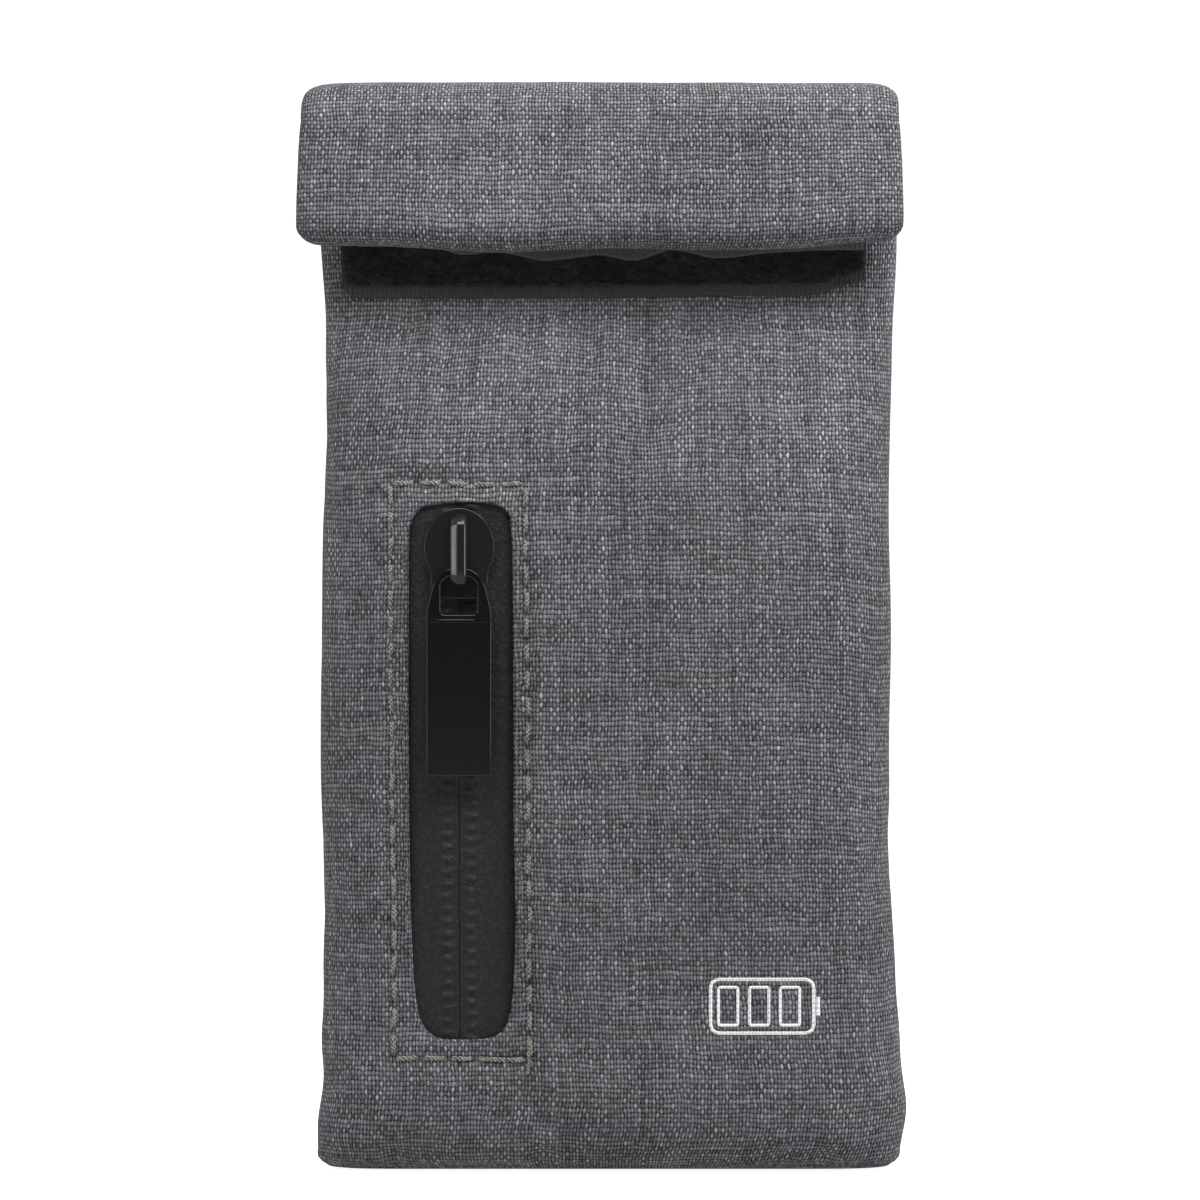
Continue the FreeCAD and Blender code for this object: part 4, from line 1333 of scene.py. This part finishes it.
def battery_sign():
    """A battery in outline, with three bars."""
    pile = Pile()
    left, low, right, high = mark_low[0], mark_low[2], mark_high[0], mark_high[2]
    cap = 0.9
    case = round_corners(rectangle(left + 0.2, low + 0.2, right - cap - 0.2, high - 0.2), 1.1)
    print_ribbon(pile, case, 0.4)
    middle = (low + high) / 2
    print_block(pile, (right - cap + 0.1, middle - 1.1), (right - 0.35, middle + 1.1))
    width = (right - cap - left) / 3
    for k in range(3):
        start = left + 1.15 + k * (width - 0.55)
        bar = round_corners(rectangle(start, low + 1.15, start + 2.3, high - 1.15), 0.3)
        print_ribbon(pile, bar, 0.36)
    mark = give(pile.build("battery_sign", cloth=True), print_look, "pouch")
    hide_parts("printed_mark")


battery_sign()


def pocket():
    """Back of the zip pocket, a plain dark cloth behind the zip."""
    low, high = node_box("pocket_lining")
    x, z = np.meshgrid(np.linspace(low[0], high[0], 40), np.linspace(low[2], high[2], 90))
    y = (low[1] + high[1]) / 2 + 0.05 * soft_noise(x, z, 8.0, 41)
    verts, faces = slab(sheet_points(x, y - 0.09, z), sheet_points(x, y + 0.09, z))
    obj = make_object("pocket_cloth", verts, faces, cloth=verts[:, [0, 2]])
    give(obj, pocket_look, "pouch")
    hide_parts("pocket_lining")


pocket()

for node, look in (("zip_coil_left", hook_look), ("zip_coil_right", hook_look),
                   ("zip_stop_top", slider_look), ("zip_stop_bottom", slider_look)):
    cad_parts[node].data.materials.clear()
    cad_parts[node].data.materials.append(look)

# ---- Camera, lights and floor ---------------------------------------------

PHOTO_WIDTH = 144.0
MIDDLE_Y = -5.0
LENS = 135.0
camera_data = bpy.data.cameras.new("camera")
camera_data.lens = LENS
camera = add_object("camera", camera_data)
camera.location = (-0.72 * MM, (MIDDLE_Y - PHOTO_WIDTH * LENS / camera_data.sensor_width) * MM, 68.4 * MM)
camera.rotation_euler = (math.pi / 2, 0, 0)
bpy.context.scene.camera = camera


# name, place, height it points at, size, power
LIGHTS = [
    ("key", (0.04, -0.11, 0.245), 0.07, (0.3, 0.08), 1.27),
    ("side_right", (0.5, -0.09, 0.12), 0.06, (0.2, 0.45), 3.2),
    ("side_left", (-0.5, -0.2, 0.1), 0.06, (0.11, 0.4), 1.5),
    ("behind", (0.0, 0.5, 0.5), 0.07, (0.7, 0.4), 5.0),
]
for name, place, target, size, power in LIGHTS:
    data = bpy.data.lights.new(name, "AREA")
    data.shape = "RECTANGLE"
    data.size, data.size_y = size
    data.energy = power
    light = add_object(name, data)
    light.location = place
    light.rotation_euler = (Vector((0, 0, target)) - Vector(place)).to_track_quat("-Z", "Y").to_euler()


def make_world():
    """A pale studio, dim only in front of the object, where nothing but the dark room is."""
    world = bpy.data.worlds.new("studio")
    world.use_nodes = True
    tree = world.node_tree
    direction = tree.nodes.new("ShaderNodeTexCoord")
    parts = tree.nodes.new("ShaderNodeSeparateXYZ")
    tree.links.new(direction.outputs["Generated"], parts.inputs[0])
    ramp = tree.nodes.new("ShaderNodeMapRange")
    ramp.interpolation_type = "SMOOTHSTEP"
    for socket, value in zip(ramp.inputs[1:5], (-0.97, -0.5, 0.03, 0.42)):
        socket.default_value = value
    tree.links.new(parts.outputs[1], ramp.inputs[0])
    background = tree.nodes["Background"]
    background.inputs["Color"].default_value = (0.98, 0.99, 1.0, 1)
    tree.links.new(ramp.outputs[0], background.inputs["Strength"])
    bpy.context.scene.world = world


make_world()
bpy.context.scene.view_settings.view_transform = "Standard"


def make_floor():
    """A pale round floor that curves up into a wall behind and at the sides, open in front."""
    bend = [(1.1 + 0.5 * math.sin(a), 0.5 - 0.5 * math.cos(a)) for a in np.linspace(0, math.pi / 2, 10)[1:]]
    profile = [(0.001, 0.0), (0.3, 0.0), (1.1, 0.0)] + bend + [(1.6, 1.7)]
    turns = 72
    verts = [(r * math.cos(a), r * math.sin(a), z) for r, z in profile
             for a in np.arange(turns) / turns * 2 * math.pi]
    faces = [f for k, f in enumerate(grid_faces(len(profile), turns, closed=True))
             if k // turns < 2 or verts[f[0]][1] > -0.6]
    faces += [f + len(verts) for f in grid_faces(2, 30)[:, ::-1]]
    verts += [(r * math.cos(a), r * math.sin(a), 0.0) for r in (1.1, 6.0)
              for a in np.linspace(-math.pi * 0.85, -math.pi * 0.15, 30)]
    floor = make_object("floor", np.array(verts) / MM, faces)
    s = Shader("floor_paper", (0.3, 0.3, 0.3), 0.8, specular=0.1)
    s.put("Emission Strength", 1.0)
    depth = s.node("ShaderNodeSeparateXYZ", [s.place(1.0)]).outputs[1]
    glow = s.range(depth, -0.9, -0.1, 0.42, 0.88)
    far = s.range(depth, -2.2, -1.2, 0.2, 1.0)
    s.link(s.tint(s.vector(1.0, 1.0, 1.0), s.mul(glow, far)), s.surface.inputs["Emission Color"])
    s.bump(s.noise(s.place(1.0), 300.0, 3.0), 0.02)
    floor.data.materials.append(s.material)
    floor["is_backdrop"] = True


make_floor()

low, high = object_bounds()
